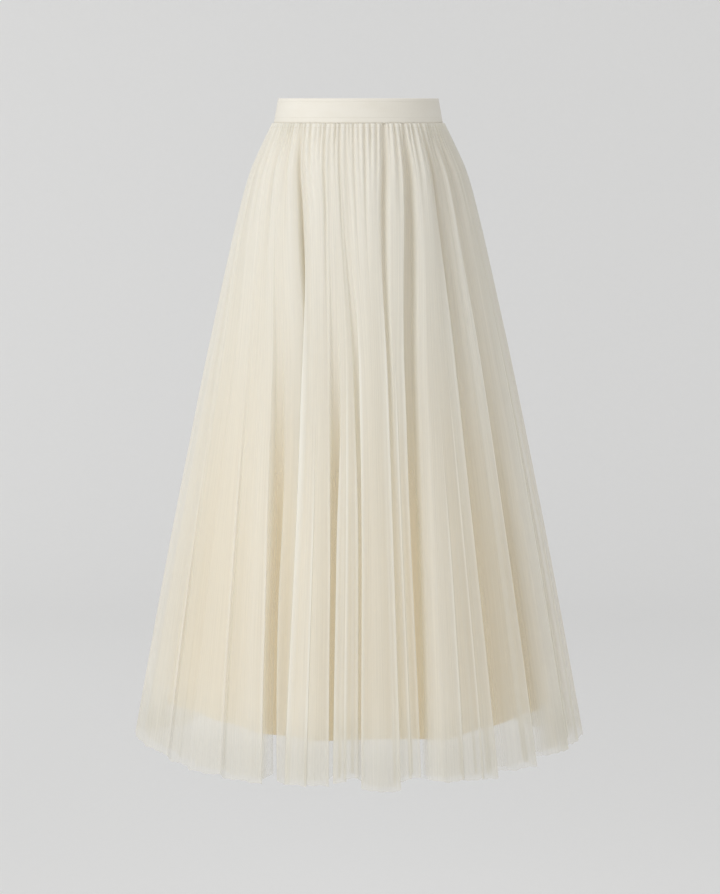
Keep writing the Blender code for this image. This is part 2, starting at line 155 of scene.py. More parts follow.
TULLE_LINES = {
    Side.FRONT: (
        Line(-90.0, -90.0, -90.0, -90.0, 0.30, 0.12, -0.016, 1.25),
        Line(-88.5, -88.0, -87.0, -85.0, 0.30, 0.16, -0.017, 1.40),
        Line(-86.5, -85.5, -83.0, -79.5, 0.10, 0.08, -0.018, 1.45),
        Line(-84.8, -82.8, -78.5, -73.5, 0.35, 0.18, -0.018, 1.35),
        Line(-83.0, -80.0, -74.0, -67.5, 0.10, 0.06, -0.017, 1.35),
        Line(-80.8, -77.0, -69.0, -61.0, 0.35, 0.18, -0.016, 1.20),
        Line(-78.8, -74.3, -64.4, -56.5, 0.10, 0.05, -0.015, 1.15),
        Line(-77.3, -72.3, -62.2, -54.6, 0.35, 0.20, -0.009, 1.00),
        Line(-72.5, -65.5, -54.0, -47.6, 0.35, 0.12, -0.009, 0.90),
        Line(-71.0, -63.5, -52.3, -46.0, 0.05, 0.02, -0.004, 1.00),
        Line(-63.0, -56.0, -45.5, -36.7, 0.10, 0.05, -0.004, 1.00),
        Line(-61.5, -53.5, -43.6, -35.0, 0.40, 0.24, 0.001, 0.90),
        Line(-60.0, -51.5, -42.0, -33.2, 0.35, 0.20, 0.000, 0.92),
        Line(-57.0, -48.5, -38.5, -30.3, 0.10, 0.10, 0.000, 1.00),
        Line(-54.5, -46.0, -36.0, -27.5, 0.00, 0.00, 0.000, 1.10),
        Line(-52.0, -43.8, -33.0, -24.7, 0.15, 0.08, 0.001, 1.00),
        Line(-50.8, -42.8, -32.0, -23.9, 0.35, 0.92, -0.003, 0.08),
        Line(-49.5, -41.0, -29.5, -20.9, 0.30, 0.92, -0.003, 0.08),
        Line(-48.5, -39.5, -27.5, -20.2, 0.20, 0.50, 0.000, 0.60),
        Line(-45.5, -34.5, -24.0, -18.9, 0.00, 0.42, 0.003, 0.75),
        Line(-42.6, -31.0, -21.6, -18.3, 0.25, 0.40, 0.003, 0.70),
        Line(-40.8, -29.0, -20.5, -17.9, 1.60, 0.38, 0.002, 0.70),
        Line(-38.8, -26.8, -19.3, -17.4, 0.30, 0.08, 0.002, 1.05),
        Line(-35.5, -23.5, -16.8, -14.5, 0.00, 0.00, 0.001, 1.25),
        Line(-28.0, -18.5, -13.5, -11.0, 0.05, 0.04, 0.002, 1.10),
        Line(-19.6, -14.6, -10.4, -7.9, 0.20, 0.10, 0.004, 0.95),
        Line(-18.3, -13.5, -9.5, -7.1, 0.30, 0.85, -0.003, 0.06),
        Line(-17.0, -11.8, -7.3, -6.1, 0.28, 0.85, -0.004, 0.06),
        Line(-15.9, -10.6, -6.3, -5.5, 0.35, 0.15, -0.006, 1.00),
        Line(-13.5, -8.8, -4.0, -3.0, 0.30, 0.05, -0.007, 0.95),
        Line(-11.3, -7.7, -2.0, -0.7, 0.45, 0.12, -0.007, 0.90),
        Line(-10.3, -6.9, -1.0, 0.0, 0.62, 0.60, -0.007, 0.20),
        Line(-9.2, -5.6, 0.3, 0.8, 0.45, 0.50, -0.005, 0.35),
        Line(-7.8, -3.6, 1.6, 1.7, 0.15, 0.08, 0.001, 1.00),
        Line(2.5, 3.0, 5.0, 5.2, 0.00, 0.00, 0.006, 1.15),
        Line(14.8, 10.3, 9.7, 9.6, 0.10, 0.10, 0.004, 1.00),
        Line(16.8, 11.9, 10.8, 10.5, 0.95, 0.45, -0.002, 0.75),
        Line(20.6, 15.4, 12.8, 12.2, 0.15, 0.30, -0.006, 0.80),
        Line(25.5, 21.8, 16.0, 14.9, 0.12, 0.28, -0.007, 0.70),
        Line(28.3, 23.6, 17.4, 15.7, 1.20, 1.00, -0.006, 0.06),
        Line(31.5, 27.0, 21.0, 16.9, 1.35, 0.95, -0.005, 0.08),
        Line(34.0, 29.6, 23.0, 18.0, 0.25, 0.26, -0.003, 0.95),
        Line(38.0, 32.8, 26.2, 21.4, 0.00, 0.00, -0.002, 1.30),
        Line(42.0, 36.8, 32.0, 28.5, 0.00, 0.05, -0.001, 1.05),
        Line(46.0, 41.0, 37.4, 35.9, 0.15, 0.16, -0.001, 0.90),
        Line(47.5, 43.0, 39.0, 37.2, 1.60, 0.90, -0.005, 0.60),
        Line(50.5, 46.8, 43.0, 41.0, 1.20, 0.70, -0.005, 0.60),
        Line(53.5, 50.0, 47.5, 45.5, 0.45, 0.34, -0.006, 0.80),
        Line(56.3, 53.0, 51.0, 49.5, 0.10, 0.12, -0.007, 0.80),
        Line(57.8, 54.6, 52.7, 50.9, 1.30, 0.80, -0.012, 0.45),
        Line(61.5, 59.5, 58.0, 56.0, 0.90, 0.58, -0.014, 0.55),
        Line(67.0, 65.5, 64.0, 61.0, 0.20, 0.08, -0.015, 1.35),
        Line(73.5, 71.0, 68.6, 65.0, 0.10, 0.04, -0.016, 1.45),
        Line(74.9, 72.6, 70.4, 66.5, 0.50, 0.32, -0.017, 0.70),
        Line(77.5, 75.6, 74.0, 70.5, 0.26, 0.20, -0.017, 1.05),
        Line(81.0, 79.4, 78.0, 75.0, 0.10, 0.04, -0.017, 1.40),
        Line(82.4, 80.9, 79.6, 76.6, 0.40, 0.26, -0.017, 0.85),
        Line(85.0, 84.0, 83.2, 81.8, 0.25, 0.16, -0.016, 1.10),
        Line(87.5, 87.0, 86.6, 86.0, 0.10, 0.05, -0.016, 1.20),
        Line(90.0, 90.0, 90.0, 90.0, 0.30, 0.12, -0.016, 0.90),
    ),
    Side.BACK: (
        Line(90.0, 90.0, 90.0, 90.0, 0.30, 0.15, -0.016, 1.00),
        Line(94.0, 94.2, 94.6, 95.0, 0.10, 0.05, -0.015, 1.05),
        Line(98.5, 98.8, 99.4, 100.2, 0.15, 0.12, -0.014, 1.03),
        Line(100.0, 100.4, 101.0, 101.8, 0.80, 0.60, -0.009, 0.50),
        Line(104.0, 104.4, 105.0, 105.8, 0.50, 0.40, -0.008, 0.72),
        Line(109.0, 109.3, 109.8, 110.5, 0.05, 0.00, -0.006, 1.05),
        Line(113.5, 113.8, 114.5, 115.6, 0.15, 0.15, -0.006, 1.00),
        Line(115.0, 115.4, 116.2, 117.3, 1.00, 0.70, -0.001, 0.39),
        Line(118.5, 118.8, 119.6, 120.9, 0.60, 0.66, 0.002, 0.43),
        Line(120.5, 120.8, 121.6, 122.8, 0.15, 0.20, 0.003, 0.94),
        Line(126.0, 126.0, 126.2, 126.5, 0.00, 0.00, 0.004, 1.05),
        Line(131.0, 130.6, 130.4, 130.2, 0.15, 0.12, 0.002, 1.03),
        Line(132.6, 132.2, 131.9, 131.7, 0.90, 0.62, 0.000, 0.48),
        Line(137.5, 137.0, 136.6, 136.2, 0.40, 0.35, -0.003, 0.78),
        Line(142.0, 141.4, 140.8, 140.0, 0.05, 0.05, -0.004, 1.05),
        Line(146.5, 145.8, 145.0, 144.2, 0.20, 0.15, -0.003, 1.00),
        Line(148.2, 147.4, 146.5, 145.6, 1.20, 0.80, -0.001, 0.28),
        Line(151.5, 150.6, 149.4, 148.6, 0.80, 0.76, 0.001, 0.32),
        Line(153.5, 152.5, 151.2, 150.2, 0.20, 0.15, 0.002, 1.00),
        Line(159.0, 157.8, 156.4, 155.2, 0.00, 0.00, 0.002, 1.05),
        Line(165.0, 163.8, 162.2, 161.2, 0.15, 0.14, 0.001, 1.01),
        Line(166.6, 165.4, 163.8, 162.8, 0.80, 0.55, 0.002, 0.55),
        Line(171.0, 169.8, 168.4, 167.4, 0.40, 0.35, 0.004, 0.78),
        Line(176.0, 175.0, 174.0, 173.2, 0.05, 0.00, 0.005, 1.05),
        Line(181.0, 180.2, 179.4, 178.8, 0.15, 0.12, 0.003, 1.03),
        Line(182.8, 182.0, 181.2, 180.6, 1.30, 0.85, 0.001, 0.22),
        Line(186.0, 185.4, 184.8, 184.2, 0.90, 0.80, -0.001, 0.28),
        Line(188.0, 187.4, 186.8, 186.2, 0.20, 0.18, -0.002, 0.96),
        Line(194.0, 193.2, 192.4, 191.6, 0.00, 0.00, -0.003, 1.05),
        Line(200.0, 199.4, 198.6, 197.6, 0.15, 0.12, -0.001, 1.03),
        Line(201.8, 201.2, 200.4, 199.4, 0.70, 0.50, 0.001, 0.61),
        Line(206.5, 206.0, 205.2, 204.4, 0.30, 0.30, 0.002, 0.83),
        Line(211.0, 210.6, 210.0, 209.2, 0.00, 0.00, 0.003, 1.05),
        Line(216.0, 215.8, 215.4, 214.8, 0.20, 0.15, 0.001, 1.00),
        Line(217.8, 217.6, 217.2, 216.6, 1.10, 0.75, -0.001, 0.33),
        Line(221.0, 220.9, 220.8, 220.4, 0.80, 0.70, -0.003, 0.39),
        Line(223.0, 223.0, 222.8, 222.4, 0.20, 0.20, -0.004, 0.94),
        Line(229.0, 229.0, 228.9, 228.6, 0.00, 0.00, -0.004, 1.05),
        Line(234.5, 234.5, 234.4, 234.4, 0.15, 0.12, -0.002, 1.03),
        Line(236.0, 236.0, 236.1, 236.1, 0.80, 0.55, 0.000, 0.55),
        Line(241.0, 241.0, 241.2, 241.5, 0.30, 0.30, 0.001, 0.83),
        Line(245.5, 245.6, 246.0, 246.6, 0.05, 0.00, -0.003, 1.05),
        Line(250.5, 250.8, 251.6, 252.4, 0.20, 0.15, -0.004, 1.00),
        Line(252.0, 252.4, 253.2, 254.0, 0.90, 0.60, -0.009, 0.50),
        Line(256.0, 256.6, 257.4, 258.2, 0.40, 0.35, -0.010, 0.78),
        Line(260.5, 261.0, 262.0, 263.0, 0.05, 0.05, -0.013, 1.05),
        Line(265.5, 266.0, 266.5, 267.0, 0.20, 0.12, -0.015, 1.03),
        Line(270.0, 270.0, 270.0, 270.0, 0.30, 0.15, -0.016, 1.00),
    ),
}
LINING_LINES = {
    Side.FRONT: (
        Line(-90.0, -90.0, -90.0, -90.0, 0.00, 0.00, 0.004),
        Line(-80.0, -79.5, -79.1, -78.5, 0.70, 0.70, -0.004),
        Line(-70.0, -69.1, -68.1, -67.0, 0.00, 0.00, -0.012),
        Line(-60.0, -58.6, -57.2, -55.5, 0.90, 0.90, -0.010),
        Line(-50.0, -48.8, -47.5, -46.0, 0.00, 0.00, -0.008),
        Line(-40.5, -39.6, -38.6, -37.5, 0.80, 0.80, -0.003),
        Line(-31.0, -30.4, -29.8, -29.0, 0.00, 0.00, 0.002),
        Line(-21.5, -20.9, -20.2, -19.4, 1.00, 1.00, 0.005),
        Line(-12.0, -12.3, -12.6, -13.0, 0.00, 0.00, 0.008),
        Line(-2.0, -2.3, -2.6, -3.0, 0.70, 0.70, 0.006),
        Line(8.0, 7.7, 7.4, 7.0, 0.00, 0.00, 0.004),
        Line(17.5, 16.9, 16.3, 15.6, 0.80, 0.80, 0.007),
        Line(27.0, 26.7, 26.4, 26.0, 0.00, 0.00, 0.010),
        Line(37.0, 36.7, 36.4, 36.0, 0.90, 0.90, 0.004),
        Line(47.0, 46.7, 46.4, 46.0, 0.00, 0.00, -0.003),
        Line(57.5, 57.5, 57.5, 57.5, 1.00, 1.00, -0.005),
        Line(68.0, 67.7, 67.4, 67.0, 0.00, 0.00, -0.006),
        Line(79.0, 78.8, 78.7, 78.5, 0.80, 0.80, -0.003),
        Line(90.0, 90.0, 90.0, 90.0, 0.00, 0.00, 0.000),
    ),
    Side.BACK: (
        Line(90.0, 90.0, 90.0, 90.0, 0.00, 0.00, 0.000),
        Line(103.0, 103.2, 103.3, 103.5, 0.90, 0.90, 0.002),
        Line(116.0, 116.3, 116.6, 117.0, 0.00, 0.00, 0.004),
        Line(129.0, 129.4, 129.7, 130.2, 1.00, 1.00, 0.000),
        Line(142.0, 141.7, 141.4, 141.0, 0.00, 0.00, -0.004),
        Line(154.5, 154.1, 153.7, 153.2, 0.90, 0.90, -0.001),
        Line(167.0, 167.3, 167.6, 168.0, 0.00, 0.00, 0.003),
        Line(180.0, 180.2, 180.3, 180.5, 1.00, 1.00, 0.000),
        Line(193.0, 192.7, 192.4, 192.0, 0.00, 0.00, -0.003),
        Line(206.0, 205.6, 205.1, 204.5, 0.85, 0.85, -0.001),
        Line(219.0, 218.7, 218.4, 218.0, 0.00, 0.00, 0.002),
        Line(231.5, 231.9, 232.3, 232.8, 1.00, 1.00, 0.000),
        Line(244.0, 244.3, 244.6, 245.0, 0.00, 0.00, -0.002),
        Line(257.0, 257.1, 257.3, 257.5, 0.90, 0.90, 0.001),
        Line(270.0, 270.0, 270.0, 270.0, 0.00, 0.00, 0.004),
    ),
}
OUTER_CREASES = {
    Side.FRONT: (
        Crease(-55.5, 0.45, 0.6, 0.6, 0.001, Facing.RIGHT),
        Crease(-35.8, 0.35, 0.6, 0.6, 0.001, Facing.RIGHT),
        Crease(-24.5, 0.42, 0.4, 0.8, 0.002, Facing.RIGHT),
        Crease(-20.4, 0.42, 0.4, 0.8, 0.002, Facing.LEFT),
        Crease(-17.7, 0.15, 0.4, 0.8, 0.002, Facing.LEFT),
        Crease(-12.8, 0.35, 0.3, 0.5, 0.001, Facing.RIGHT),
        Crease(-7.6, 0.36, 0.4, 0.8, 0.002, Facing.RIGHT),
        Crease(-5.7, 0.36, 0.4, 0.8, 0.002, Facing.LEFT),
        Crease(-3.2, 0.22, 0.3, 0.6, 0.001, Facing.LEFT),
        Crease(-0.4, 0.30, 0.3, 0.7, 0.002, Facing.RIGHT),
        Crease(1.2, 0.18, 0.4, 0.8, 0.002, Facing.LEFT),
        Crease(10.1, 0.14, 0.4, 0.7, 0.002, Facing.RIGHT),
        Crease(12.9, 0.25, 0.3, 0.6, 0.001, Facing.RIGHT),
        Crease(15.3, 0.16, 0.4, 0.7, 0.002, Facing.RIGHT),
        Crease(26.4, 0.40, 0.3, 0.5, 0.001, Facing.RIGHT),
        Crease(32.2, 0.30, 0.3, 0.5, 0.001, Facing.RIGHT),
        Crease(36.6, 0.12, 0.5, 1.0, 0.004, Facing.RIGHT),
        Crease(50.2, 0.10, 0.6, 1.1, 0.005, Facing.RIGHT),
        Crease(65.8, 0.15, 0.7, 1.2, 0.003, Facing.RIGHT),
    ),
    Side.BACK: (
        Crease(101.0, 0.12, 0.7, 1.2, 0.003, Facing.RIGHT),
        Crease(116.5, 0.10, 0.6, 1.1, 0.003, Facing.RIGHT),
        Crease(121.9, 0.15, 0.5, 0.9, 0.002, Facing.LEFT),
        Crease(130.9, 0.12, 0.5, 1.0, 0.002, Facing.RIGHT),
        Crease(144.9, 0.08, 0.4, 0.8, 0.002, Facing.RIGHT),
        Crease(149.4, 0.12, 0.4, 0.8, 0.002, Facing.LEFT),
        Crease(156.9, 0.32, 0.3, 0.5, 0.001, Facing.RIGHT),
        Crease(162.0, 0.10, 0.4, 0.8, 0.002, Facing.RIGHT),
        Crease(169.5, 0.28, 0.3, 0.5, 0.001, Facing.LEFT),
        Crease(179.7, 0.08, 0.4, 0.8, 0.002, Facing.RIGHT),
        Crease(185.2, 0.10, 0.4, 0.8, 0.002, Facing.LEFT),
        Crease(193.0, 0.30, 0.3, 0.5, 0.001, Facing.LEFT),
        Crease(198.5, 0.12, 0.4, 0.8, 0.002, Facing.RIGHT),
        Crease(215.7, 0.08, 0.4, 0.8, 0.002, Facing.RIGHT),
        Crease(221.4, 0.12, 0.4, 0.8, 0.002, Facing.LEFT),
        Crease(235.3, 0.10, 0.5, 1.0, 0.002, Facing.RIGHT),
        Crease(243.6, 0.30, 0.4, 0.7, 0.001, Facing.LEFT),
        Crease(253.2, 0.12, 0.6, 1.1, 0.003, Facing.RIGHT),
    ),
}
GATHERS = {
    Side.FRONT: (
        Gather(-84.0, 2.4, 0.5, 0.9), Gather(-76.5, 2.2, 0.7, 1.3), Gather(-68.0, 1.4, 1.2, 0.8),
        Gather(-62.5, 0.9, 0.8, 0.4), Gather(-57.3, 1.4, 1.4, 1.4), Gather(-52.4, 0.8, 1.1, 0.4),
        Gather(-47.9, 1.2, 1.5, 1.0), Gather(-42.0, 1.3, 1.6, 1.2), Gather(-37.3, 1.1, 1.2, 1.6),
        Gather(-33.0, 1.0, 1.2, 0.5), Gather(-28.6, 0.7, 0.8, 0.3), Gather(-22.2, 1.0, 1.6, 1.2),
        Gather(-18.1, 1.1, 0.7, 0.7), Gather(-12.2, 1.0, 1.2, 0.9), Gather(-8.0, 1.0, 0.9, 1.3),
        Gather(-3.3, 1.1, 1.3, 0.8), Gather(0.2, 1.0, 0.7, 0.6), Gather(3.9, 1.0, 1.5, 0.8),
        Gather(12.0, 1.2, 1.1, 0.5), Gather(17.3, 1.8, 2.6, 0.9), Gather(20.6, 0.9, 0.8, 0.5),
        Gather(24.3, 1.1, 1.3, 0.6), Gather(28.0, 0.9, 0.8, 0.5), Gather(31.2, 1.8, 1.8, 1.2),
        Gather(38.2, 1.4, 1.5, 0.5), Gather(42.6, 1.0, 1.0, 0.4), Gather(46.2, 1.6, 1.8, 1.0),
        Gather(53.7, 1.6, 1.7, 1.0), Gather(58.6, 1.2, 1.0, 0.6), Gather(62.7, 1.8, 1.5, 0.8),
        Gather(69.0, 1.8, 1.2, 0.9), Gather(75.5, 2.0, 1.2, 1.2), Gather(83.0, 2.2, 0.9, 0.8),
    ),
    Side.BACK: (
        Gather(97.0, 2.2, 1.0, 1.1), Gather(104.5, 1.8, 1.4, 0.8), Gather(110.5, 1.6, 0.8, 1.3),
        Gather(118.0, 1.4, 1.7, 1.2), Gather(122.8, 1.2, 0.7, 0.6), Gather(129.0, 1.5, 1.3, 1.0),
        Gather(135.5, 1.3, 1.0, 0.7), Gather(141.5, 1.2, 0.6, 1.2), Gather(149.0, 1.2, 1.9, 1.4),
        Gather(153.0, 1.0, 0.8, 0.5), Gather(160.5, 1.2, 1.2, 0.9), Gather(166.0, 1.1, 1.5, 1.2),
        Gather(172.5, 1.2, 0.7, 0.7), Gather(178.0, 1.0, 1.0, 1.0), Gather(184.5, 1.2, 2.1, 1.5),
        Gather(190.0, 1.0, 0.8, 0.6), Gather(196.5, 1.2, 1.3, 1.1), Gather(203.0, 1.2, 0.9, 0.7),
        Gather(209.5, 1.2, 1.1, 1.2), Gather(218.5, 1.3, 1.8, 1.4), Gather(223.0, 1.1, 0.7, 0.6),
        Gather(229.5, 1.4, 1.2, 0.9), Gather(237.0, 1.5, 1.5, 1.2), Gather(244.0, 1.5, 0.8, 0.8),
        Gather(252.5, 1.7, 1.6, 1.3), Gather(259.0, 1.8, 1.0, 0.8), Gather(266.0, 2.2, 1.1, 1.0),
    ),
}


def uneven(place: float) -> float:
    """Return a fixed share from 0 to 1 that looks unordered from one place to the next."""
    return math.sin(place * 12.9898 + 4.1414) * 43758.5453 % 1.0


def ease(start: float, end: float, values: np.ndarray) -> np.ndarray:
    """Rise smoothly from 0 at start to 1 at end.

    Args:
        start: Value where the rise begins.
        end: Value where it is complete.
        values: Places to work it out at.

    Returns:
        A share from 0 to 1 for each value.
    """
    share = np.clip((values - start) / (end - start), 0.0, 1.0)
    return share * share * (3.0 - 2.0 * share)


def smooth_through(places: np.ndarray, knots: np.ndarray, heights: np.ndarray) -> np.ndarray:
    """Read smooth curves that pass through a few points.

    Args:
        places: Where to read the curves.
        knots: Places of the points, rising.
        heights: Heights of the points, with a second axis where there are several curves.

    Returns:
        The height at each place, for each curve.
    """
    steps = np.arange(len(knots))
    before = np.maximum(steps - 1, 0)
    after = np.minimum(steps + 1, len(knots) - 1)
    each = (1,) * (heights.ndim - 1)
    slopes = (heights[after] - heights[before]) / (knots[after] - knots[before]).reshape(-1, *each)
    index = np.clip(np.searchsorted(knots, places) - 1, 0, len(knots) - 2)
    span = (knots[index + 1] - knots[index]).reshape(index.shape + each)
    share = (places - knots[index]).reshape(index.shape + each) / span
    squared = share * share
    cubed = squared * share
    return ((2 * cubed - 3 * squared + 1) * heights[index]
            + (cubed - 2 * squared + share) * span * slopes[index]
            + (3 * squared - 2 * cubed) * heights[index + 1]
            + (cubed - squared) * span * slopes[index + 1])


@dataclass(frozen=True)
class Wire:
    """An output socket that takes part in Python arithmetic by adding Math nodes."""

    graph: ShaderGraph
    socket: bpy.types.NodeSocket

    def _math(self, operation: str, first: Wire | float, second: Wire | float) -> Wire:
        """Add one Math node and return its value."""
        return self.graph.add("ShaderNodeMath", {"operation": operation}, {0: first, 1: second})[0]

    def __add__(self, other: Wire | float) -> Wire:
        """Return self + other."""
        return self._math("ADD", self, other)

    def __radd__(self, other: float) -> Wire:
        """Return other + self."""
        return self._math("ADD", other, self)

    def __sub__(self, other: Wire | float) -> Wire:
        """Return self - other."""
        return self._math("SUBTRACT", self, other)

    def __rsub__(self, other: float) -> Wire:
        """Return other - self."""
        return self._math("SUBTRACT", other, self)

    def __mul__(self, other: Wire | float) -> Wire:
        """Return self * other."""
        return self._math("MULTIPLY", self, other)

    def __rmul__(self, other: float) -> Wire:
        """Return other * self."""
        return self._math("MULTIPLY", other, self)

    def limited(self, low: float = 0.0, high: float = 1.0) -> Wire:
        """Return the value kept between low and high."""
        return self._math("MINIMUM", self._math("MAXIMUM", self, low), high)

    def sine(self) -> Wire:
        """Return the sine of the value."""
        return self.graph.add("ShaderNodeMath", {"operation": "SINE"}, {0: self})[0]

    def near(self, place: float, reach: float) -> Wire:
        """Return 1 at a place, falling to 0 at a reach to either side of it."""
        apart = self.graph.add("ShaderNodeMath", {"operation": "ABSOLUTE"}, {0: self - place})[0]
        return (1.0 - apart * (1.0 / reach)).limited()


class ShaderGraph:
    """The node tree of one material, with its Principled shader ready to be fed."""

    def __init__(self, name: str) -> None:
        """Start a material.

        Args:
            name: The material's name.
        """
        self.material = bpy.data.materials.new(name)
        self.material.use_nodes = True
        self.tree = self.material.node_tree
        self.shader = self.tree.nodes["Principled BSDF"]

    def add(self, kind: str, settings: dict[str, object] | None = None,
            sockets: dict[int | str, object] | None = None) -> list[Wire]:
        """Add a node.

        Args:
            kind: The node's type.
            settings: Properties to set first, such as a Math node's operation.
            sockets: Values or wires for its inputs, by name or number.

        Returns:
            The node's outputs, in order.
        """
        node = self.tree.nodes.new(kind)
        for key, value in (settings or {}).items():
            setattr(node, key, value)
        for key, value in (sockets or {}).items():
            self._feed(node.inputs[key], value)
        return [Wire(self, socket) for socket in node.outputs]

    def surface(self, **sockets: object) -> bpy.types.Material:
        """Feed the Principled shader and return the finished material."""
        by_name = {socket.name.lower().replace(" ", "_"): socket for socket in self.shader.inputs}
        for name, value in sockets.items():
            self._feed(by_name[name], value)
        return self.material

    def sheer_surface(self, cover: Wire, passed: float, colour: Wire, normal: Wire,
                      **sockets: object) -> bpy.types.Material:
        """Finish a cloth that is seen through between its threads and glows with light behind it.

        Args:
            cover: Share of the view that the threads take.
            passed: Share of the threads' light that comes from behind.
            colour: Colour of the threads.
            normal: Normal with the cloth's relief.
            sockets: Other inputs of the Principled shader.

        Returns:
            The finished material.
        """
        self.surface(base_color=colour, normal=normal, **sockets)
        front = Wire(self, self.shader.outputs[0])
        behind = self.add("ShaderNodeBsdfTranslucent", {}, {"Color": colour, "Normal": normal})[0]
        threads = self.add("ShaderNodeMixShader", {}, {0: passed, 1: front, 2: behind})[0]
        clear = self.add("ShaderNodeBsdfTransparent")[0]
        cloth = self.add("ShaderNodeMixShader", {}, {0: cover, 1: clear, 2: threads})[0]
        self._feed(self.tree.nodes["Material Output"].inputs["Surface"], cloth)
        return self.material

    def cloth_place(self, across: float = 1.0, along: float = 1.0) -> Wire:
        """Return the cloth's own coordinates, scaled across and along its length."""
        place = self.add("ShaderNodeUVMap", {"uv_map": "cloth"})[0]
        return self._scaled(place, (across, along, 1.0))

    def solid_place(self, across: float = 1.0, upwards: float = 1.0) -> Wire:
        """Return the piece's Object coordinates, scaled across and upwards."""
        return self._scaled(self.add("ShaderNodeTexCoord")[3], (across, across, upwards))

    def one_axis(self, place: Wire, axis: int) -> Wire:
        """Return one of a place's three numbers."""
        return self.add("ShaderNodeSeparateXYZ", {}, {0: place})[axis]

    def noise(self, place: Wire, detail: float = 2.0, roughness: float = 0.5) -> Wire:
        """Return soft noise from 0 to 1 at a place."""
        sockets = {"Vector": place, "Scale": 1.0, "Detail": detail, "Roughness": roughness}
        return self.add("ShaderNodeTexNoise", {}, sockets)[0]

    def attribute(self, name: str) -> Wire:
        """Return a number that the mesh carries at each of its points."""
        return self.add("ShaderNodeAttribute", {"attribute_name": name})[2]

    def mix(self, share: Wire, first: Colour | Wire, second: Colour | Wire) -> Wire:
        """Return a colour between two others."""
        sockets = {"Factor": share, 6: first, 7: second}
        return self.add("ShaderNodeMix", {"data_type": "RGBA"}, sockets)[2]

    def bump(self, height: Wire, distance: float, strength: float) -> Wire:
        """Return a normal that follows a height."""
        sockets = {"Height": height, "Distance": distance, "Strength": strength}
        return self.add("ShaderNodeBump", {}, sockets)[0]

    def _scaled(self, place: Wire, scale: tuple[float, float, float]) -> Wire:
        """Return a place with its three numbers scaled."""
        return self.add("ShaderNodeMapping", {}, {"Vector": place, "Scale": scale})[0]

    def _feed(self, socket: bpy.types.NodeSocket, value: object) -> None:
        """Link a wire to a socket, or set its value."""
        if isinstance(value, Wire):
            self.tree.links.new(value.socket, socket)
        elif socket.type == "RGBA":
            socket.default_value = (*value, 1.0)
        else:
            socket.default_value = value


@dataclass(frozen=True)
class TulleFinish:
    """Fine soft net, denser where it is gathered, with a row of stitches just below the band. Its
    colour carries painted shade in folds, gathers and towards the hem, and a painted highlight
    along fold edges.
    """

    name: str
    slot: str
    pale: Colour
    warm: Colour
    # deep: colour of the painted shade in folds, gathers and the lower net; the stitch row also
    # takes it as thread colour.
    deep: Colour
    # Greyer colour painted near the hem: painted shade towards the bottom of the net.
    hem_shade: Colour = (0.825, 0.805, 0.732)
    passed: float = 0.42
    wrinkles_across: float = 420.0
    wrinkles_along: float = 5.0
    wrinkle_detail: float = 3.0
    wrinkle_roughness: float = 0.55
    wrinkle_tint: float = 1.2
    tint_start: float = 0.2
    # Fold edges get a paler colour, a painted highlight; their denser cover from crease_cover is
    # the doubled net itself.
    crease_highlight: float = 0.8
    wrinkle_height: float = 0.0012
    wrinkle: float = 0.35
    least_cover: float = 0.84
    wrinkle_cover: float = 0.32
    crease_cover: float = 0.22
    most_cover: float = 0.97
    stitch_height: float = -0.0232
    stitch_reach: float = 0.0008
    stitch_pitch: float = 0.009
    stitch_shade: float = 0.6
    roughness: float = 0.78
    gloss: float = 0.2

    def material(self) -> bpy.types.Material:
        """Build the net's material."""
        graph = ShaderGraph(self.name)
        threads = graph.cloth_place(self.wrinkles_across, self.wrinkles_along)
        wrinkles = graph.noise(threads, self.wrinkle_detail, self.wrinkle_roughness)
        crease = graph.attribute("crease")
        cover = graph.attribute("cover") * (self.least_cover + self.wrinkle_cover * wrinkles)
        cover = (cover + crease * self.crease_cover).limited(0.0, self.most_cover)
        # Paler along fold edges: a painted highlight on top of their denser cover.
        tint = wrinkles * self.wrinkle_tint - self.tint_start - crease * self.crease_highlight
        colour = graph.mix(tint.limited(), self.pale, self.warm)
        # Painted shade: folds, gathers and the lower net turn towards the deep colour by the shade
        # mark.
        colour = graph.mix(graph.attribute("shade"), colour, self.deep)
        # Painted shade near the hem: the net turns greyer there.
        colour = graph.mix(graph.attribute("hem_shade"), colour, self.hem_shade)
        colour = graph.mix(self._stitches(graph) * self.stitch_shade, colour, self.deep)
        normal = graph.bump(wrinkles, self.wrinkle_height, self.wrinkle)
        return graph.sheer_surface(cover, self.passed, colour, normal, roughness=self.roughness,
                                   specular_ior_level=self.gloss)

    def _stitches(self, graph: ShaderGraph) -> Wire:
        """Return 1 on the stitches of the row that gathers the net, and 0 between them."""
        height = graph.one_axis(graph.solid_place(), 2)
        across = graph.one_axis(graph.cloth_place(), 0)
        dashes = (across * (2.0 * math.pi / self.stitch_pitch)).sine() * 0.5 + 0.5
        return height.near(self.stitch_height, self.stitch_reach) * dashes


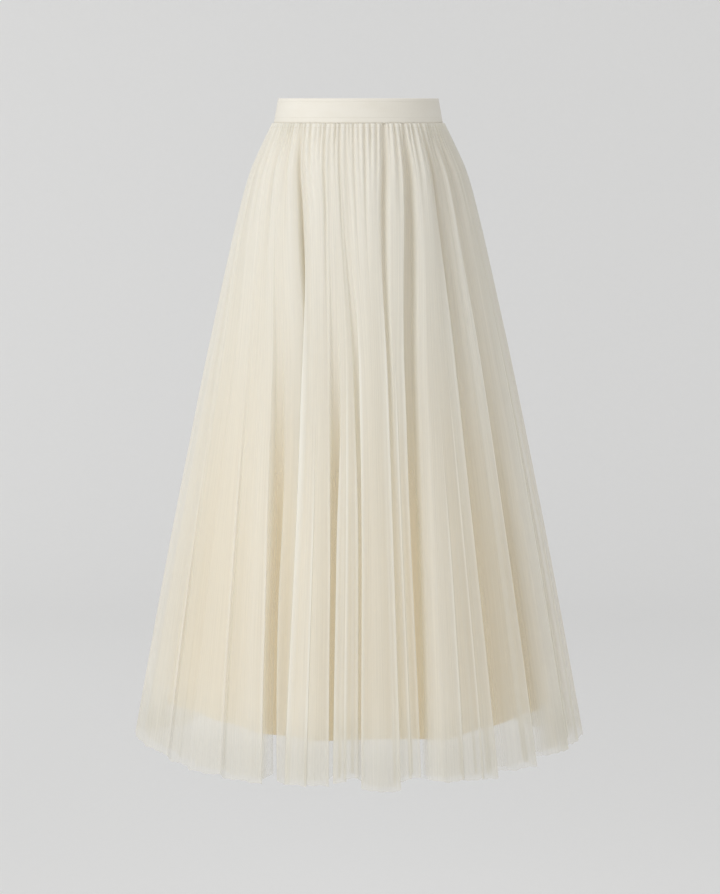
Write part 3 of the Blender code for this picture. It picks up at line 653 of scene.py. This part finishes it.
@dataclass(frozen=True)
class LiningFinish:
    """Smooth opaque lining with a soft sheen and a fine weave."""

    name: str = "lining_cloth"
    slot: str = "lining"
    light: Colour = (0.830, 0.737, 0.566)
    deep: Colour = (0.770, 0.662, 0.464)
    ripples_across: float = 60.0
    ripples_along: float = 3.0
    weave_across: float = 1400.0
    weave_along: float = 500.0
    ripple_tint: float = 1.3
    tint_start: float = 0.15
    hem_tint: float = 0.5
    weave_relief: float = 0.06
    hem_relief: float = 0.5
    relief_height: float = 0.0012
    relief: float = 0.4
    roughness: float = 0.52
    sheen: float = 0.15
    sheen_roughness: float = 0.35
    gloss: float = 0.35

    def material(self) -> bpy.types.Material:
        """Build the lining's material."""
        graph = ShaderGraph(self.name)
        ripples = graph.noise(graph.cloth_place(self.ripples_across, self.ripples_along), 3.0)
        weave = graph.noise(graph.cloth_place(self.weave_across, self.weave_along), 1.0)
        hem_line = graph.attribute("crease")
        tint = ripples * self.ripple_tint - self.tint_start + hem_line * self.hem_tint
        raised = ripples + weave * self.weave_relief - hem_line * self.hem_relief
        return graph.surface(
            base_color=graph.mix(tint.limited(), self.light, self.deep), roughness=self.roughness,
            sheen_weight=self.sheen, sheen_roughness=self.sheen_roughness,
            specular_ior_level=self.gloss,
            normal=graph.bump(raised, self.relief_height, self.relief))


@dataclass(frozen=True)
class ElasticFinish:
    """Wide knitted elastic with fine upright ribs and two faint grooved lines along it, darkened
    with painted shade.
    """

    name: str = "elastic_knit"
    slot: str = "elastic"
    pale: Colour = (0.740, 0.710, 0.640)
    shade: Colour = (0.690, 0.655, 0.570)
    upper_line: float = 0.0122
    lower_line: float = -0.0098
    line_reach: float = 0.0008
    row_pitch: float = 0.0011
    ribs_across: float = 900.0
    ribs_up: float = 40.0
    clouds_across: float = 30.0
    clouds_up: float = 90.0
    rib_relief: float = 0.5
    row_relief: float = 0.10
    cloud_relief: float = 0.8
    line_relief: float = 0.9
    cloud_tint: float = 0.9
    tint_start: float = 0.1
    # How much darker the two grooves are: painted shade in them.
    groove_shade: float = 0.35
    relief_height: float = 0.0006
    relief: float = 0.35
    roughness: float = 0.74
    sheen: float = 0.2
    sheen_roughness: float = 0.4
    gloss: float = 0.3

    def material(self) -> bpy.types.Material:
        """Build the elastic's material."""
        graph = ShaderGraph(self.name)
        height = graph.one_axis(graph.solid_place(), 2)
        ribs = graph.noise(graph.solid_place(self.ribs_across, self.ribs_up), 1.0)
        rows = (height * (2.0 * math.pi / self.row_pitch)).sine()
        clouds = graph.noise(graph.solid_place(self.clouds_across, self.clouds_up), 2.0)
        lines = (height.near(self.upper_line, self.line_reach)
                 + height.near(self.lower_line, self.line_reach))
        raised = (ribs * self.rib_relief + rows * self.row_relief + clouds * self.cloud_relief
                  - lines * self.line_relief)
        # Darker along the two grooves: painted shade.
        tint = clouds * self.cloud_tint - self.tint_start + lines * self.groove_shade
        return graph.surface(
            base_color=graph.mix(tint.limited(), self.pale, self.shade), roughness=self.roughness,
            sheen_weight=self.sheen, sheen_roughness=self.sheen_roughness,
            specular_ior_level=self.gloss,
            normal=graph.bump(raised, self.relief_height, self.relief))


@dataclass(frozen=True)
class ThreadFinish:
    """Twisted sewing thread."""

    name: str = "sewing_thread"
    slot: str = "elastic"
    pale: Colour = (0.800, 0.760, 0.670)
    shade: Colour = (0.640, 0.580, 0.470)
    twists: float = 2500.0
    relief_height: float = 0.0002
    relief: float = 0.4
    roughness: float = 0.6
    sheen: float = 0.2

    def material(self) -> bpy.types.Material:
        """Build the thread's material."""
        graph = ShaderGraph(self.name)
        twist = graph.noise(graph.solid_place(self.twists, self.twists), 1.0)
        return graph.surface(
            base_color=graph.mix(twist, self.pale, self.shade), roughness=self.roughness,
            sheen_weight=self.sheen,
            normal=graph.bump(twist, self.relief_height, self.relief))


@dataclass(frozen=True)
class PaperFinish:
    """Matt seamless paper behind and under the skirt."""

    name: str = "studio_paper"
    colour: Colour = (0.860, 0.860, 0.856)
    grain: Colour = (0.845, 0.845, 0.840)
    grains: float = 60.0
    roughness: float = 0.95
    gloss: float = 0.1

    def material(self) -> bpy.types.Material:
        """Build the paper's material."""
        graph = ShaderGraph(self.name)
        grain = graph.noise(graph.solid_place(self.grains, self.grains), 3.0)
        return graph.surface(base_color=graph.mix(grain, self.colour, self.grain),
                             roughness=self.roughness, specular_ior_level=self.gloss)


@dataclass(frozen=True)
class SkirtForm:
    """The shape that every layer follows, as the frame's solids have it."""

    band_half: float = 0.0175
    tulle_length: float = 0.8935
    lining_length: float = 0.8340
    front_dip: float = 0.0065

    def section(self, column: str, drops: np.ndarray) -> np.ndarray:
        """Read one column of the section table smoothly at some drops below the band."""
        knots = np.array([row.drop for row in SECTIONS])
        heights = np.array([getattr(row, column) for row in SECTIONS])
        return smooth_through(drops, knots, heights)

    def along(self, lines: tuple[Line, ...], column: str, cloth: np.ndarray) -> np.ndarray:
        """Read one column of a panel's lines at lines of cloth, named by their hem angle."""
        return np.interp(cloth, [line.hem_deg for line in lines],
                         [getattr(line, column) for line in lines])

    def degrees(self, lines: tuple[Line, ...], cloth: np.ndarray, drops: np.ndarray) -> np.ndarray:
        """Find the angles round the skirt of lines of cloth.

        Args:
            lines: The panel's lines.
            cloth: Hem angles that name the lines of cloth, one row of them for each drop.
            drops: Drops below the band.

        Returns:
            The angle of each line of cloth at each drop.
        """
        knots = np.array([line[:len(LINE_DROPS)] for line in lines]).T
        places = smooth_through(drops.ravel(), np.array(LINE_DROPS), knots)
        return np.stack([np.interp(row, knots[-1], place) for row, place in zip(cloth, places)])

    def fold_depth(self, lines: tuple[Line, ...], cloth: np.ndarray,
                   drops: np.ndarray) -> np.ndarray:
        """Find how deep lines of cloth lie in their folds.

        Args:
            lines: The panel's lines.
            cloth: Hem angles that name the lines of cloth.
            drops: Drops below the band.

        Returns:
            A share of the fold's full depth for each line of cloth at each drop.
        """
        hem = np.array([line.hem_deg for line in lines])
        index = np.clip(np.searchsorted(hem, cloth, side="right") - 1, 0, len(lines) - 2)
        share = ease(0.0, 1.0, (cloth - hem[index]) / (hem[index + 1] - hem[index]))
        upper = np.array([line.upper for line in lines])
        lower = np.array([line.lower for line in lines])
        upper = upper[index] + (upper[index + 1] - upper[index]) * share
        lower = lower[index] + (lower[index + 1] - lower[index]) * share
        return upper + (lower - upper) * ease(UPPER_END, LOWER_START, drops)

    def ring(self, width: np.ndarray, depth: np.ndarray, degrees: np.ndarray,
             inset: np.ndarray) -> tuple[np.ndarray, np.ndarray]:
        """Place points on ellipses, moved inwards along their normals.

        Args:
            width: Half width of each ellipse.
            depth: Half depth of each ellipse.
            degrees: Angle from the front.
            inset: Distance inwards.

        Returns:
            The X and Y of the points.
        """
        angle = np.radians(degrees)
        across = np.sin(angle)
        forward = -np.cos(angle)
        size = np.hypot(across / width, forward / depth)
        return (width * across - inset * across / width / size,
                depth * forward - inset * forward / depth / size)

    def dip(self, cloth: np.ndarray) -> np.ndarray:
        """Return how much lower lines of cloth hang at the front and back than at the sides."""
        return self.front_dip * np.abs(np.cos(np.radians(cloth)))


@dataclass
class ClothSheet:
    """A panel worked out as rows of points, with flat coordinates and numbers for its finish."""

    name: str
    points: np.ndarray
    flat: np.ndarray
    marks: dict[str, np.ndarray]

    def build(self, material: bpy.types.Material) -> bpy.types.Object:
        """Make the panel's mesh.

        Args:
            material: The panel's finish.

        Returns:
            The panel, smooth all over.
        """
        rows, columns = self.points.shape[:2]
        numbers = np.arange(rows * columns).reshape(rows, columns)
        quads = np.stack([numbers[:-1, :-1], numbers[1:, :-1], numbers[1:, 1:], numbers[:-1, 1:]],
                         axis=-1).reshape(-1, 4)
        mesh = bpy.data.meshes.new(self.name)
        mesh.from_pydata(self.points.reshape(-1, 3).tolist(), [], quads.tolist())
        uv_map = mesh.uv_layers.new(name="cloth")
        uv_map.data.foreach_set("uv", self.flat.reshape(-1, 2)[quads.ravel()].ravel())
        for name, values in self.marks.items():
            attribute = mesh.attributes.new(name, "FLOAT", "POINT")
            attribute.data.foreach_set("value", values.ravel().astype(np.float32))
        mesh.materials.append(material)
        mesh.shade_smooth()
        piece = bpy.data.objects.new(self.name, mesh)
        bpy.context.scene.collection.objects.link(piece)
        return piece


@dataclass(kw_only=True)
class PanelLayer:
    """A layer of cloth that is cut as a front and a back panel and hangs from the band."""

    form: SkirtForm
    finish: TulleFinish | LiningFinish
    node: str
    ending: str
    length: float
    held: str
    flat_width: float
    flat_area: float

    def build(self) -> None:
        material = self.finish.material()
        for side in Side:
            panel = self.panel(side).build(material)
            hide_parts(f"{self.node}_{side.value}")
            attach(panel, BODY)
            LOG.info("%s: %d faces", panel.name, len(panel.data.polygons))

    def panel(self, side: Side) -> ClothSheet:
        """Work out one panel, which each kind of layer does in its own way.

        Args:
            side: Front or back.

        Returns:
            The panel's points and what they carry.
        """
        raise NotImplementedError

    def levels(self, drops: np.ndarray) -> np.ndarray:
        """Return the drops on the whole form that this layer's own drops stand for."""
        return drops * (self.form.tulle_length / self.length)

    def lay(self, side: Side, cloth: np.ndarray, drops: np.ndarray, degrees: np.ndarray,
            inset: np.ndarray, longer: np.ndarray, marks: dict[str, np.ndarray]) -> ClothSheet:
        """Lay a panel on the form.

        Args:
            side: Front or back.
            cloth: Hem angles of the lines of cloth.
            drops: Drops of the rows.
            degrees: Angle of each point.
            inset: Distance of each point inside the form.
            longer: How much more each line of cloth hangs.
            marks: Numbers for the finish.

        Returns:
            The panel's points and what they carry.
        """
        width = self.form.section("half_width", self.levels(drops))
        depth = width * self.form.section("depth_ratio", self.levels(drops))
        x, y = self.form.ring(width, depth, degrees, inset)
        every = np.zeros_like(x)
        z = -self.form.band_half - drops * (1.0 + longer / self.length) + every
        flat = np.stack([cloth / 180.0 * self.flat_width + every, z], axis=-1)
        return ClothSheet(
            f"{self.node}_{side.value}_{self.ending}", np.stack([x, y, z], axis=-1), flat,
            {name: values + every for name, values in marks.items()})


@dataclass(frozen=True)
class NetLook:
    """How thickly a net covers what is behind it, and how much painted shade its folds and gathers
    get.
    """

    top_cover: float = 0.90
    hem_cover: float = 0.48
    gathered_end: float = 0.66
    own_cover_drops: tuple[float, float] = (0.30, 0.64)
    shade_end: float = 0.06
    lit_fold: float = 0.15
    upper_shade: float = 0.30
    more_shade: float = 0.36
    more_shade_drops: tuple[float, float] = (0.25, 0.60)
    gather_shade: float = 0.010
    low_shade: float = 0.13
    low_shade_drops: tuple[float, float] = (0.48, 0.72)
    # Drops over which the painted shade near the hem comes in.
    hem_shade_drops: tuple[float, float] = (0.79, 0.87)

    def cover(self, own: np.ndarray, drops: np.ndarray) -> np.ndarray:
        """Return how much the net covers, less in open folds and near the hem."""
        gathered = 1.0 - ease(0.0, self.gathered_end, drops)
        cover = self.hem_cover + (self.top_cover - self.hem_cover) * gathered
        return cover * (1.0 + (own - 1.0) * ease(*self.own_cover_drops, drops))

    def shade(self, folds: np.ndarray, gathers: np.ndarray, drops: np.ndarray) -> np.ndarray:
        """Return how much painted shade the net gets from its folds, its gathers and its distance
        from the band.

        Args:
            folds: How deep each point lies in its fold, as a share.
            gathers: Inset of each point in its gather.
            drops: Drops of the rows.

        Returns:
            A share from 0 to 1 for each point.
        """
        share = self.upper_shade + self.more_shade * ease(*self.more_shade_drops, drops)
        in_folds = (folds - self.lit_fold) * (ease(0.0, self.shade_end, drops) * share)
        low = self.low_shade * ease(*self.low_shade_drops, drops)
        return np.clip(in_folds + gathers / self.gather_shade + low, 0.0, 1.0)


@dataclass(kw_only=True)
class TulleLayer(PanelLayer):
    """One layer of net, gathered to the band."""

    creases: dict[Side, tuple[Crease, ...]]
    ending: str = "net"
    held: str = "gathered"
    flat_width: float = 1.35
    flat_area: float = 0.95
    look: NetLook = NetLook()
    fold_share: float = 1.0
    gather_share: float = 1.25
    gather_spread: float = 3.0
    pinch: float = 0.12
    pinch_narrower: float = 0.3
    pinch_drop: float = 0.016
    deepest_gather: float = 0.0045
    hem_wave: float = 0.0010
    hem_ripple: float = 0.0006
    hem_step: float = 0.006
    hem_seed: float = 7.3
    cover_seed: float = 0.4
    strip_cover: float = 0.3
    strip_edge: float = 0.4
    inset_column: str | None = None
    base_inset: float = 0.0005
    shorter: float = 0.0
    least_ramp: float = 0.18
    more_ramp: float = 0.12
    turn: float = 4.0
    turn_fade: float = 2.0
    edge_line: float = 0.26
    side_edge: float = 0.8
    column_step: float = 0.34
    band_column_step: float = 1.8
    crease_reach: float = 2.2
    crease_columns: int = 13
    least_apart: float = 0.03
    rows: int = 60
    row_crowding: float = 1.45

    def panel(self, side: Side) -> ClothSheet:
        """Work out one panel.

        Args:
            side: Front or back.

        Returns:
            The panel's points and what they carry.
        """
        lines = TULLE_LINES[side]
        cloth = self._columns(side)[None, :]
        rows = np.linspace(0.0, 1.0, self.rows)[:, None] ** self.row_crowding
        drops = self.length * rows
        moved, deeper, crease = self._lay_creases(side, cloth, drops)
        gathers = self._gathers(side, cloth, drops)
        folds = self.form.fold_depth(lines, cloth, drops)
        inset = self.base_inset + deeper + gathers * self.gather_share
        inset = inset + self.form.section("fold", drops) * self.fold_share * folds
        if self.inset_column:
            inset = inset + self.form.section(self.inset_column, drops)
        own = self.form.along(lines, "cover", cloth)
        strips = self._by_strip(side, cloth, self.cover_seed)
        own = own * (1.0 + self.strip_cover * (strips - 0.5))
        marks = {"cover": self.look.cover(own, drops), "crease": crease,
                 "shade": self.look.shade(folds, gathers, drops),
                 "hem_shade": ease(*self.look.hem_shade_drops, drops)}
        degrees = self.form.degrees(lines, moved, drops)
        return self.lay(side, cloth, drops, degrees, inset, self._longer(side, cloth), marks)

    def _columns(self, side: Side) -> np.ndarray:
        """Return the hem angles of the columns, closer together where the cloth turns back."""
        lines = TULLE_LINES[side]
        first, last = lines[0].hem_deg, lines[-1].hem_deg
        places = [np.linspace(first, last, int((last - first) / self.column_step) + 1)]
        bands = np.array([line.band_deg for line in lines])
        even = np.arange(bands[0], bands[-1], self.column_step * self.band_column_step)
        places.append(np.interp(even, bands, [line.hem_deg for line in lines]))
        across = np.linspace(-self.crease_reach, self.crease_reach, self.crease_columns)
        for crease in self.creases[side]:
            places.append(crease.hem_deg + crease.half_width * across)
        places = np.unique(np.concatenate(places))
        places = places[(places >= first) & (places <= last)]
        apart = np.concatenate([[True], np.diff(places) > self.least_apart])
        apart[-1] = True
        return places[apart]

    def _lay_creases(self, side: Side, cloth: np.ndarray,
                     drops: np.ndarray) -> tuple[np.ndarray, np.ndarray, np.ndarray]:
        """Turn the cloth back under itself at each crease.

        Args:
            side: Front or back.
            cloth: Hem angles of the lines of cloth.
            drops: Drops of the rows.

        Returns:
            The moved angles, the added insets, and how sharp the fold's edge is at each point.
        """
        moved = cloth + np.zeros_like(drops)
        deeper = np.zeros_like(moved)
        edges = np.zeros_like(moved)
        for crease in self.creases[side]:
            ramp = self.least_ramp + self.more_ramp * uneven(crease.hem_deg)
            strength = ease(crease.start, crease.start + ramp, drops)
            along = (cloth - crease.hem_deg) / crease.half_width
            swing = along * np.exp(0.5 - 0.5 * along * along)
            moved = moved - crease.lap * strength * swing
            facing = crease.facing.value
            under = 0.5 + 0.5 * np.tanh(0.5 * self.turn * along * facing)
            beyond = np.maximum(along * facing - 1.0, 0.0)
            fade = np.exp(-0.5 * (beyond / self.turn_fade) ** 2)
            deeper = deeper + crease.depth * strength * under * fade
            edge = crease.hem_deg - facing * crease.half_width
            edges = edges + strength * np.exp(-((cloth - edge) / self.edge_line) ** 2)
        for end in (cloth[0, 0], cloth[0, -1]):
            edges = edges + np.exp(-((cloth - end) / self.side_edge) ** 2)
        return moved, deeper, np.clip(edges, 0.0, 1.0)

    def _gathers(self, side: Side, cloth: np.ndarray, drops: np.ndarray) -> np.ndarray:
        """Return the insets of the small gathers under the band."""
        band = self.form.along(TULLE_LINES[side], "band_deg", cloth)
        pinch = np.exp(-(drops / self.pinch_drop) ** 2)
        inset = np.zeros_like(cloth * drops)
        for gather in GATHERS[side] + short_gathers(side):
            half_width = gather.half_width * (1.0 - self.pinch_narrower * pinch
                                              + self.gather_spread * drops)
            shape = np.exp(-((band - gather.band_deg) / half_width) ** 2)
            depth = np.maximum(self.form.section("gather", drops / gather.reach), 0.0)
            inset = inset + gather.depth * (1.0 + self.pinch * pinch) * depth * shape
        return self.deepest_gather * np.tanh(inset / self.deepest_gather)

    def _by_strip(self, side: Side, cloth: np.ndarray, seed: float) -> np.ndarray:
        """Return an uneven share from 0 to 1 for each strip of cloth between two creases."""
        places = []
        shares = []
        for number, crease in enumerate(self.creases[side]):
            places += [crease.hem_deg - self.strip_edge * crease.half_width,
                       crease.hem_deg + self.strip_edge * crease.half_width]
            shares += [uneven(seed + number), uneven(seed + number + 1)]
        return np.interp(cloth, places, shares)

    def _longer(self, side: Side, cloth: np.ndarray) -> np.ndarray:
        """Return how much more each line of cloth hangs, as uneven as the raw cut leaves it."""
        hem = self.form.along(TULLE_LINES[side], "longer", cloth)
        wave = self.hem_wave * np.sin(cloth * 0.9) + self.hem_ripple * np.sin(cloth * 2.3 + 1.0)
        step = self.hem_step * (self._by_strip(side, cloth, self.hem_seed) - 0.5)
        return hem + wave + step + self.form.dip(cloth) - self.shorter


@dataclass(kw_only=True)
class Lining(PanelLayer):
    """The opaque layer, which hangs nearly straight and has the line of its turned hem."""

    node: str = "lining"
    ending: str = "cloth"
    held: str = "hung"
    flat_width: float = 1.02
    flat_area: float = 0.56
    flute_top: float = 0.0004
    flute_hem: float = 0.0110
    ripple: float = 0.0006
    ripple_rate: float = 1.7
    ripple_end: float = 0.3
    hem_turn: float = 0.016
    hem_line: float = 0.0012
    column_step: float = 1.0
    rows: int = 48

    def panel(self, side: Side) -> ClothSheet:
        """Work out one panel.

        Args:
            side: Front or back.

        Returns:
            The panel's points and what they carry.
        """
        lines = LINING_LINES[side]
        first, last = lines[0].hem_deg, lines[-1].hem_deg
        cloth = np.linspace(first, last, int((last - first) / self.column_step) + 1)[None, :]
        share = np.linspace(0.0, 1.0, self.rows)[:, None]
        drops = share * self.length
        flute = self.flute_top + (self.flute_hem - self.flute_top) * share
        inset = self.form.section("lining", self.levels(drops))
        inset = inset + flute * self.form.fold_depth(lines, cloth, drops)
        ripple = self.ripple * np.sin(cloth * self.ripple_rate + 2.0)
        inset = inset + ripple * ease(0.0, self.ripple_end, 1.0 - share)
        degrees = self.form.degrees(lines, cloth + np.zeros_like(drops), drops)
        longer = self.form.along(lines, "longer", cloth) + self.form.dip(cloth)
        above_hem = self.length - drops
        line = np.exp(-((above_hem - self.hem_turn) / self.hem_line) ** 2)
        return self.lay(side, cloth, drops, degrees, inset, longer, {"crease": line})


@dataclass
class Waistband:
    """The wide elastic with the row of stitches along its foot."""

    form: SkirtForm
    finish: ElasticFinish
    thread: ThreadFinish
    height: float = 0.035
    wall: float = 0.0036
    top_half_width: float = 0.1138
    foot_half_width: float = 0.1201
    depth_ratio: float = 0.78
    round_share: float = 0.89
    edge_round: float = 0.0015
    edge_steps: int = 4
    edge_angle: float = 50.0
    columns: int = 192
    cuts: int = 7
    cut_share: float = 0.4
    stitch_pitch: float = 0.0031
    stitch_length: float = 0.0023
    stitch_width: float = 0.0005
    stitch_proud: float = 0.15
    stitch_height: float = -0.0158

    def build(self) -> None:
        """Build the elastic and its stitches."""
        band = self.elastic()
        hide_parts("waistband")
        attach(band, BODY)
        stitches = self.stitches()
        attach(stitches, BODY)
        LOG.info("%s: %d faces", band.name, len(band.data.polygons))
        LOG.info("%s: %d faces", stitches.name, len(stitches.data.polygons))

    def elastic(self) -> bpy.types.Object:
        """Make the loop of elastic from an open cylinder, narrowed at its top and thickened."""
        bpy.ops.object.select_all(action="DESELECT")
        bpy.ops.mesh.primitive_cylinder_add(
            vertices=self.columns, radius=self.foot_half_width, depth=self.height,
            end_fill_type="NOTHING")
        band = bpy.context.active_object
        band.name = "band_elastic"
        band.scale = (1.0, self.depth_ratio, 1.0)
        bpy.ops.object.transform_apply(location=False, rotation=False, scale=True)
        bpy.ops.object.mode_set(mode="EDIT")
        bpy.ops.mesh.select_all(action="DESELECT")
        bpy.ops.object.mode_set(mode="OBJECT")
        for vertex in band.data.vertices:
            vertex.select = vertex.co.z > 0.0
        bpy.ops.object.mode_set(mode="EDIT")
        narrow = self.top_half_width / self.foot_half_width
        bpy.ops.transform.resize(value=(narrow, narrow, 1.0))
        for height in np.linspace(-self.cut_share, self.cut_share, self.cuts) * self.height:
            bpy.ops.mesh.select_all(action="SELECT")
            bpy.ops.mesh.bisect(plane_co=(0.0, 0.0, height), plane_no=(0.0, 0.0, 1.0))
        bpy.ops.object.mode_set(mode="OBJECT")
        wall = band.modifiers.new("wall", "SOLIDIFY")
        wall.thickness = self.wall
        wall.offset = -1.0
        edge = band.modifiers.new("edge", "BEVEL")
        edge.width = self.edge_round
        edge.segments = self.edge_steps
        edge.angle_limit = math.radians(self.edge_angle)
        bpy.ops.object.modifier_apply(modifier="wall")
        bpy.ops.object.modifier_apply(modifier="edge")
        bpy.ops.object.shade_smooth()
        band.data.materials.clear()
        band.data.materials.append(self.finish.material())
        return band

    def stitches(self) -> bpy.types.Object:
        """Make one stitch from a small sphere and lay copies of it round the band's foot."""
        bpy.ops.object.select_all(action="DESELECT")
        bpy.ops.mesh.primitive_uv_sphere_add(segments=6, ring_count=5, radius=0.5)
        row = bpy.context.active_object
        row.name = "band_stitches"
        mesh = row.data
        shape = np.zeros(len(mesh.vertices) * 3)
        mesh.vertices.foreach_get("co", shape)
        shape = shape.reshape(-1, 3) * (self.stitch_length, self.stitch_width, self.stitch_width)
        faces = [tuple(face.vertices) for face in mesh.polygons]
        share = 0.5 - self.stitch_height / self.height
        width = self.top_half_width + (self.foot_half_width - self.top_half_width) * share
        points = []
        polygons = []
        for angle in self._even_angles(width, width * self.depth_ratio):
            base = len(points)
            x = width * math.sin(angle)
            y = -width * self.depth_ratio * math.cos(angle)
            along = np.array([width * math.cos(angle),
                              width * self.depth_ratio * math.sin(angle), 0.0])
            along /= np.linalg.norm(along)
            outwards = np.array([along[1], -along[0], 0.0])
            centre = np.array([x, y, self.stitch_height])
            centre += outwards * self.stitch_width * self.stitch_proud
            placed = (centre + shape[:, :1] * along + shape[:, 1:2] * outwards
                      + shape[:, 2:] * np.array([0.0, 0.0, 1.0]))
            points.extend(placed.tolist())
            polygons.extend(tuple(base + corner for corner in face) for face in faces)
        mesh.clear_geometry()
        mesh.from_pydata(points, [], polygons)
        mesh.shade_smooth()
        mesh.materials.clear()
        mesh.materials.append(self.thread.material())
        return row

    def _even_angles(self, width: float, depth: float) -> list[float]:
        """Return angles in radians at even distances round an ellipse."""
        fine = np.linspace(0.0, 2.0 * math.pi, 2001)
        step = np.hypot(width * np.cos(fine), depth * np.sin(fine))
        travelled = np.concatenate([[0.0], np.cumsum((step[1:] + step[:-1]) / 2 * np.diff(fine))])
        count = int(travelled[-1] / self.stitch_pitch)
        return np.interp(np.arange(count) * travelled[-1] / count, travelled, fine).tolist()


@dataclass
class Studio:
    """Plain paper, soft light and the camera of the photograph."""

    paper: PaperFinish
    floor_height: float = -1.55
    wall_distance: float = 7.0
    wall_height: float = 7.0
    wall_curve: float = 2.0
    curve_steps: int = 16
    half_width: float = 9.0
    camera_distance: float = 4.5
    camera_height: float = 0.0175
    camera_side: float = 0.0024
    camera_tilt: float = 6.32
    lens: float = 126.85
    sensor: float = 36.0
    world_colour: Colour = (1.0, 1.0, 1.0)
    world_strength: float = 0.61
    clear_bounces: int = 48
    diffuse_bounces: int = 8

    def build(self) -> None:
        """Set the backdrop, the lights and the camera."""
        self._backdrop()
        self._lights()
        self._camera()
        scene = bpy.context.scene
        scene.view_settings.view_transform = "Standard"
        scene.cycles.transparent_max_bounces = self.clear_bounces
        scene.cycles.diffuse_bounces = self.diffuse_bounces

    def _backdrop(self) -> None:
        """Make one sheet of paper that runs along the floor and curves up behind."""
        bpy.ops.object.select_all(action="DESELECT")
        bpy.ops.mesh.primitive_plane_add(size=2.0, location=(0.0, 0.0, self.floor_height))
        paper = bpy.context.active_object
        paper.name = "studio_paper"
        paper.scale = (self.half_width, self.wall_distance, 1.0)
        bpy.ops.object.transform_apply(location=True, rotation=False, scale=True)
        for vertex in paper.data.vertices:
            vertex.select = vertex.co.y > 0.0
        for edge in paper.data.edges:
            edge.select = all(paper.data.vertices[v].co.y > 0.0 for v in edge.vertices)
        for face in paper.data.polygons:
            face.select = False
        bpy.ops.object.mode_set(mode="EDIT")
        bpy.ops.mesh.select_mode(type="EDGE")
        rise = {"value": (0.0, 0.0, self.wall_height)}
        bpy.ops.mesh.extrude_region_move(TRANSFORM_OT_translate=rise)
        bpy.ops.mesh.select_all(action="DESELECT")
        bpy.ops.object.mode_set(mode="OBJECT")
        curve = paper.modifiers.new("curve", "BEVEL")
        curve.width = self.wall_curve
        curve.segments = self.curve_steps
        bpy.ops.object.modifier_apply(modifier="curve")
        bpy.ops.object.shade_smooth()
        paper.data.materials.append(self.paper.material())

    def _lights(self) -> None:
        """Hang the key light, the fill and the two lamps for the wall, in an even room."""
        world = bpy.data.worlds.new("studio_room")
        world.use_nodes = True
        room = world.node_tree.nodes["Background"]
        room.inputs["Color"].default_value = (*self.world_colour, 1.0)
        room.inputs["Strength"].default_value = self.world_strength
        bpy.context.scene.world = world
        for lamp in LAMPS:
            self._hang(lamp)

    def _hang(self, lamp: Lamp) -> None:
        """Hang one lamp and turn it to its target.

        Args:
            lamp: The lamp's place, target, size and power.
        """
        light = bpy.data.lights.new(lamp.name, "AREA")
        light.size = lamp.size
        light.energy = lamp.power
        hung = bpy.data.objects.new(lamp.name, light)
        bpy.context.scene.collection.objects.link(hung)
        hung.location = lamp.place
        away = np.array(lamp.place) - np.array(lamp.target)
        flat = math.hypot(away[0], away[1])
        hung.rotation_euler = (math.atan2(flat, away[2]), 0.0, math.atan2(away[0], -away[1]))

    def _camera(self) -> None:
        """Place the camera level with the band, looking down at the skirt's middle."""
        lens = bpy.data.cameras.new("photo_camera")
        lens.lens = self.lens
        lens.sensor_width = self.sensor
        camera = bpy.data.objects.new("photo_camera", lens)
        bpy.context.scene.collection.objects.link(camera)
        camera.location = (self.camera_side, -self.camera_distance, self.camera_height)
        camera.rotation_euler = (math.radians(90.0 - self.camera_tilt), 0.0, 0.0)
        bpy.context.scene.camera = camera


def short_gathers(side: Side, wide_gap: float = 4.4) -> tuple[Gather, ...]:
    """Make short gathers that fill the wider gaps between those listed.

    Args:
        side: Front or back.
        wide_gap: Degrees between two gathers from which one is added.

    Returns:
        The added gathers, each near the middle of its gap.
    """
    made = []
    for left, right in zip(GATHERS[side], GATHERS[side][1:]):
        apart = right.band_deg - left.band_deg
        if apart > wide_gap:
            middle = left.band_deg + apart * (0.42 + 0.16 * uneven(left.band_deg))
            depth = 0.8 + 0.6 * uneven(right.band_deg)
            made.append(Gather(middle, half_width=0.9, depth=depth, reach=0.35))
    return tuple(made)


def inner_creases(depth: float = 0.002) -> dict[Side, tuple[Crease, ...]]:
    """Make creases for the inner layer, each a little way from one of the outer layer's.

    Args:
        depth: How far each turns in.

    Returns:
        The creases of both panels.
    """
    creases = {}
    for side, outer in OUTER_CREASES.items():
        made = []
        for number, crease in enumerate(outer):
            shift = 0.5 + 0.7 * uneven(crease.hem_deg)
            way = -crease.facing.value if number % 2 else crease.facing.value
            made.append(crease._replace(hem_deg=crease.hem_deg + shift * way, depth=depth,
                                        start=crease.start + 0.1 * uneven(number)))
        creases[side] = tuple(made)
    return creases


def main() -> None:
    """Load the frame and dress it, piece by piece."""
    logging.basicConfig(level=logging.INFO, format="%(message)s")
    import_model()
    form = SkirtForm()
    outer_net = TulleFinish("outer_net", "outer_tulle", pale=(0.937, 0.930, 0.888),
                            warm=(0.912, 0.900, 0.842), deep=(0.810, 0.770, 0.672))
    inner_net = TulleFinish("inner_net", "inner_tulle", pale=(0.932, 0.924, 0.878),
                            warm=(0.907, 0.892, 0.828), deep=(0.795, 0.748, 0.640))
    Waistband(form, ElasticFinish(), ThreadFinish()).build()
    TulleLayer(form=form, finish=outer_net, node="tulle_outer", length=form.tulle_length,
               creases=OUTER_CREASES).build()
    TulleLayer(form=form, finish=inner_net, node="tulle_inner", length=form.tulle_length,
               creases=inner_creases(), fold_share=0.60, gather_share=0.35,
               inset_column="inner", base_inset=0.0, shorter=0.004).build()
    Lining(form=form, finish=LiningFinish(), length=form.lining_length).build()
    Studio(PaperFinish()).build()


if __name__ == "__main__":
    main()
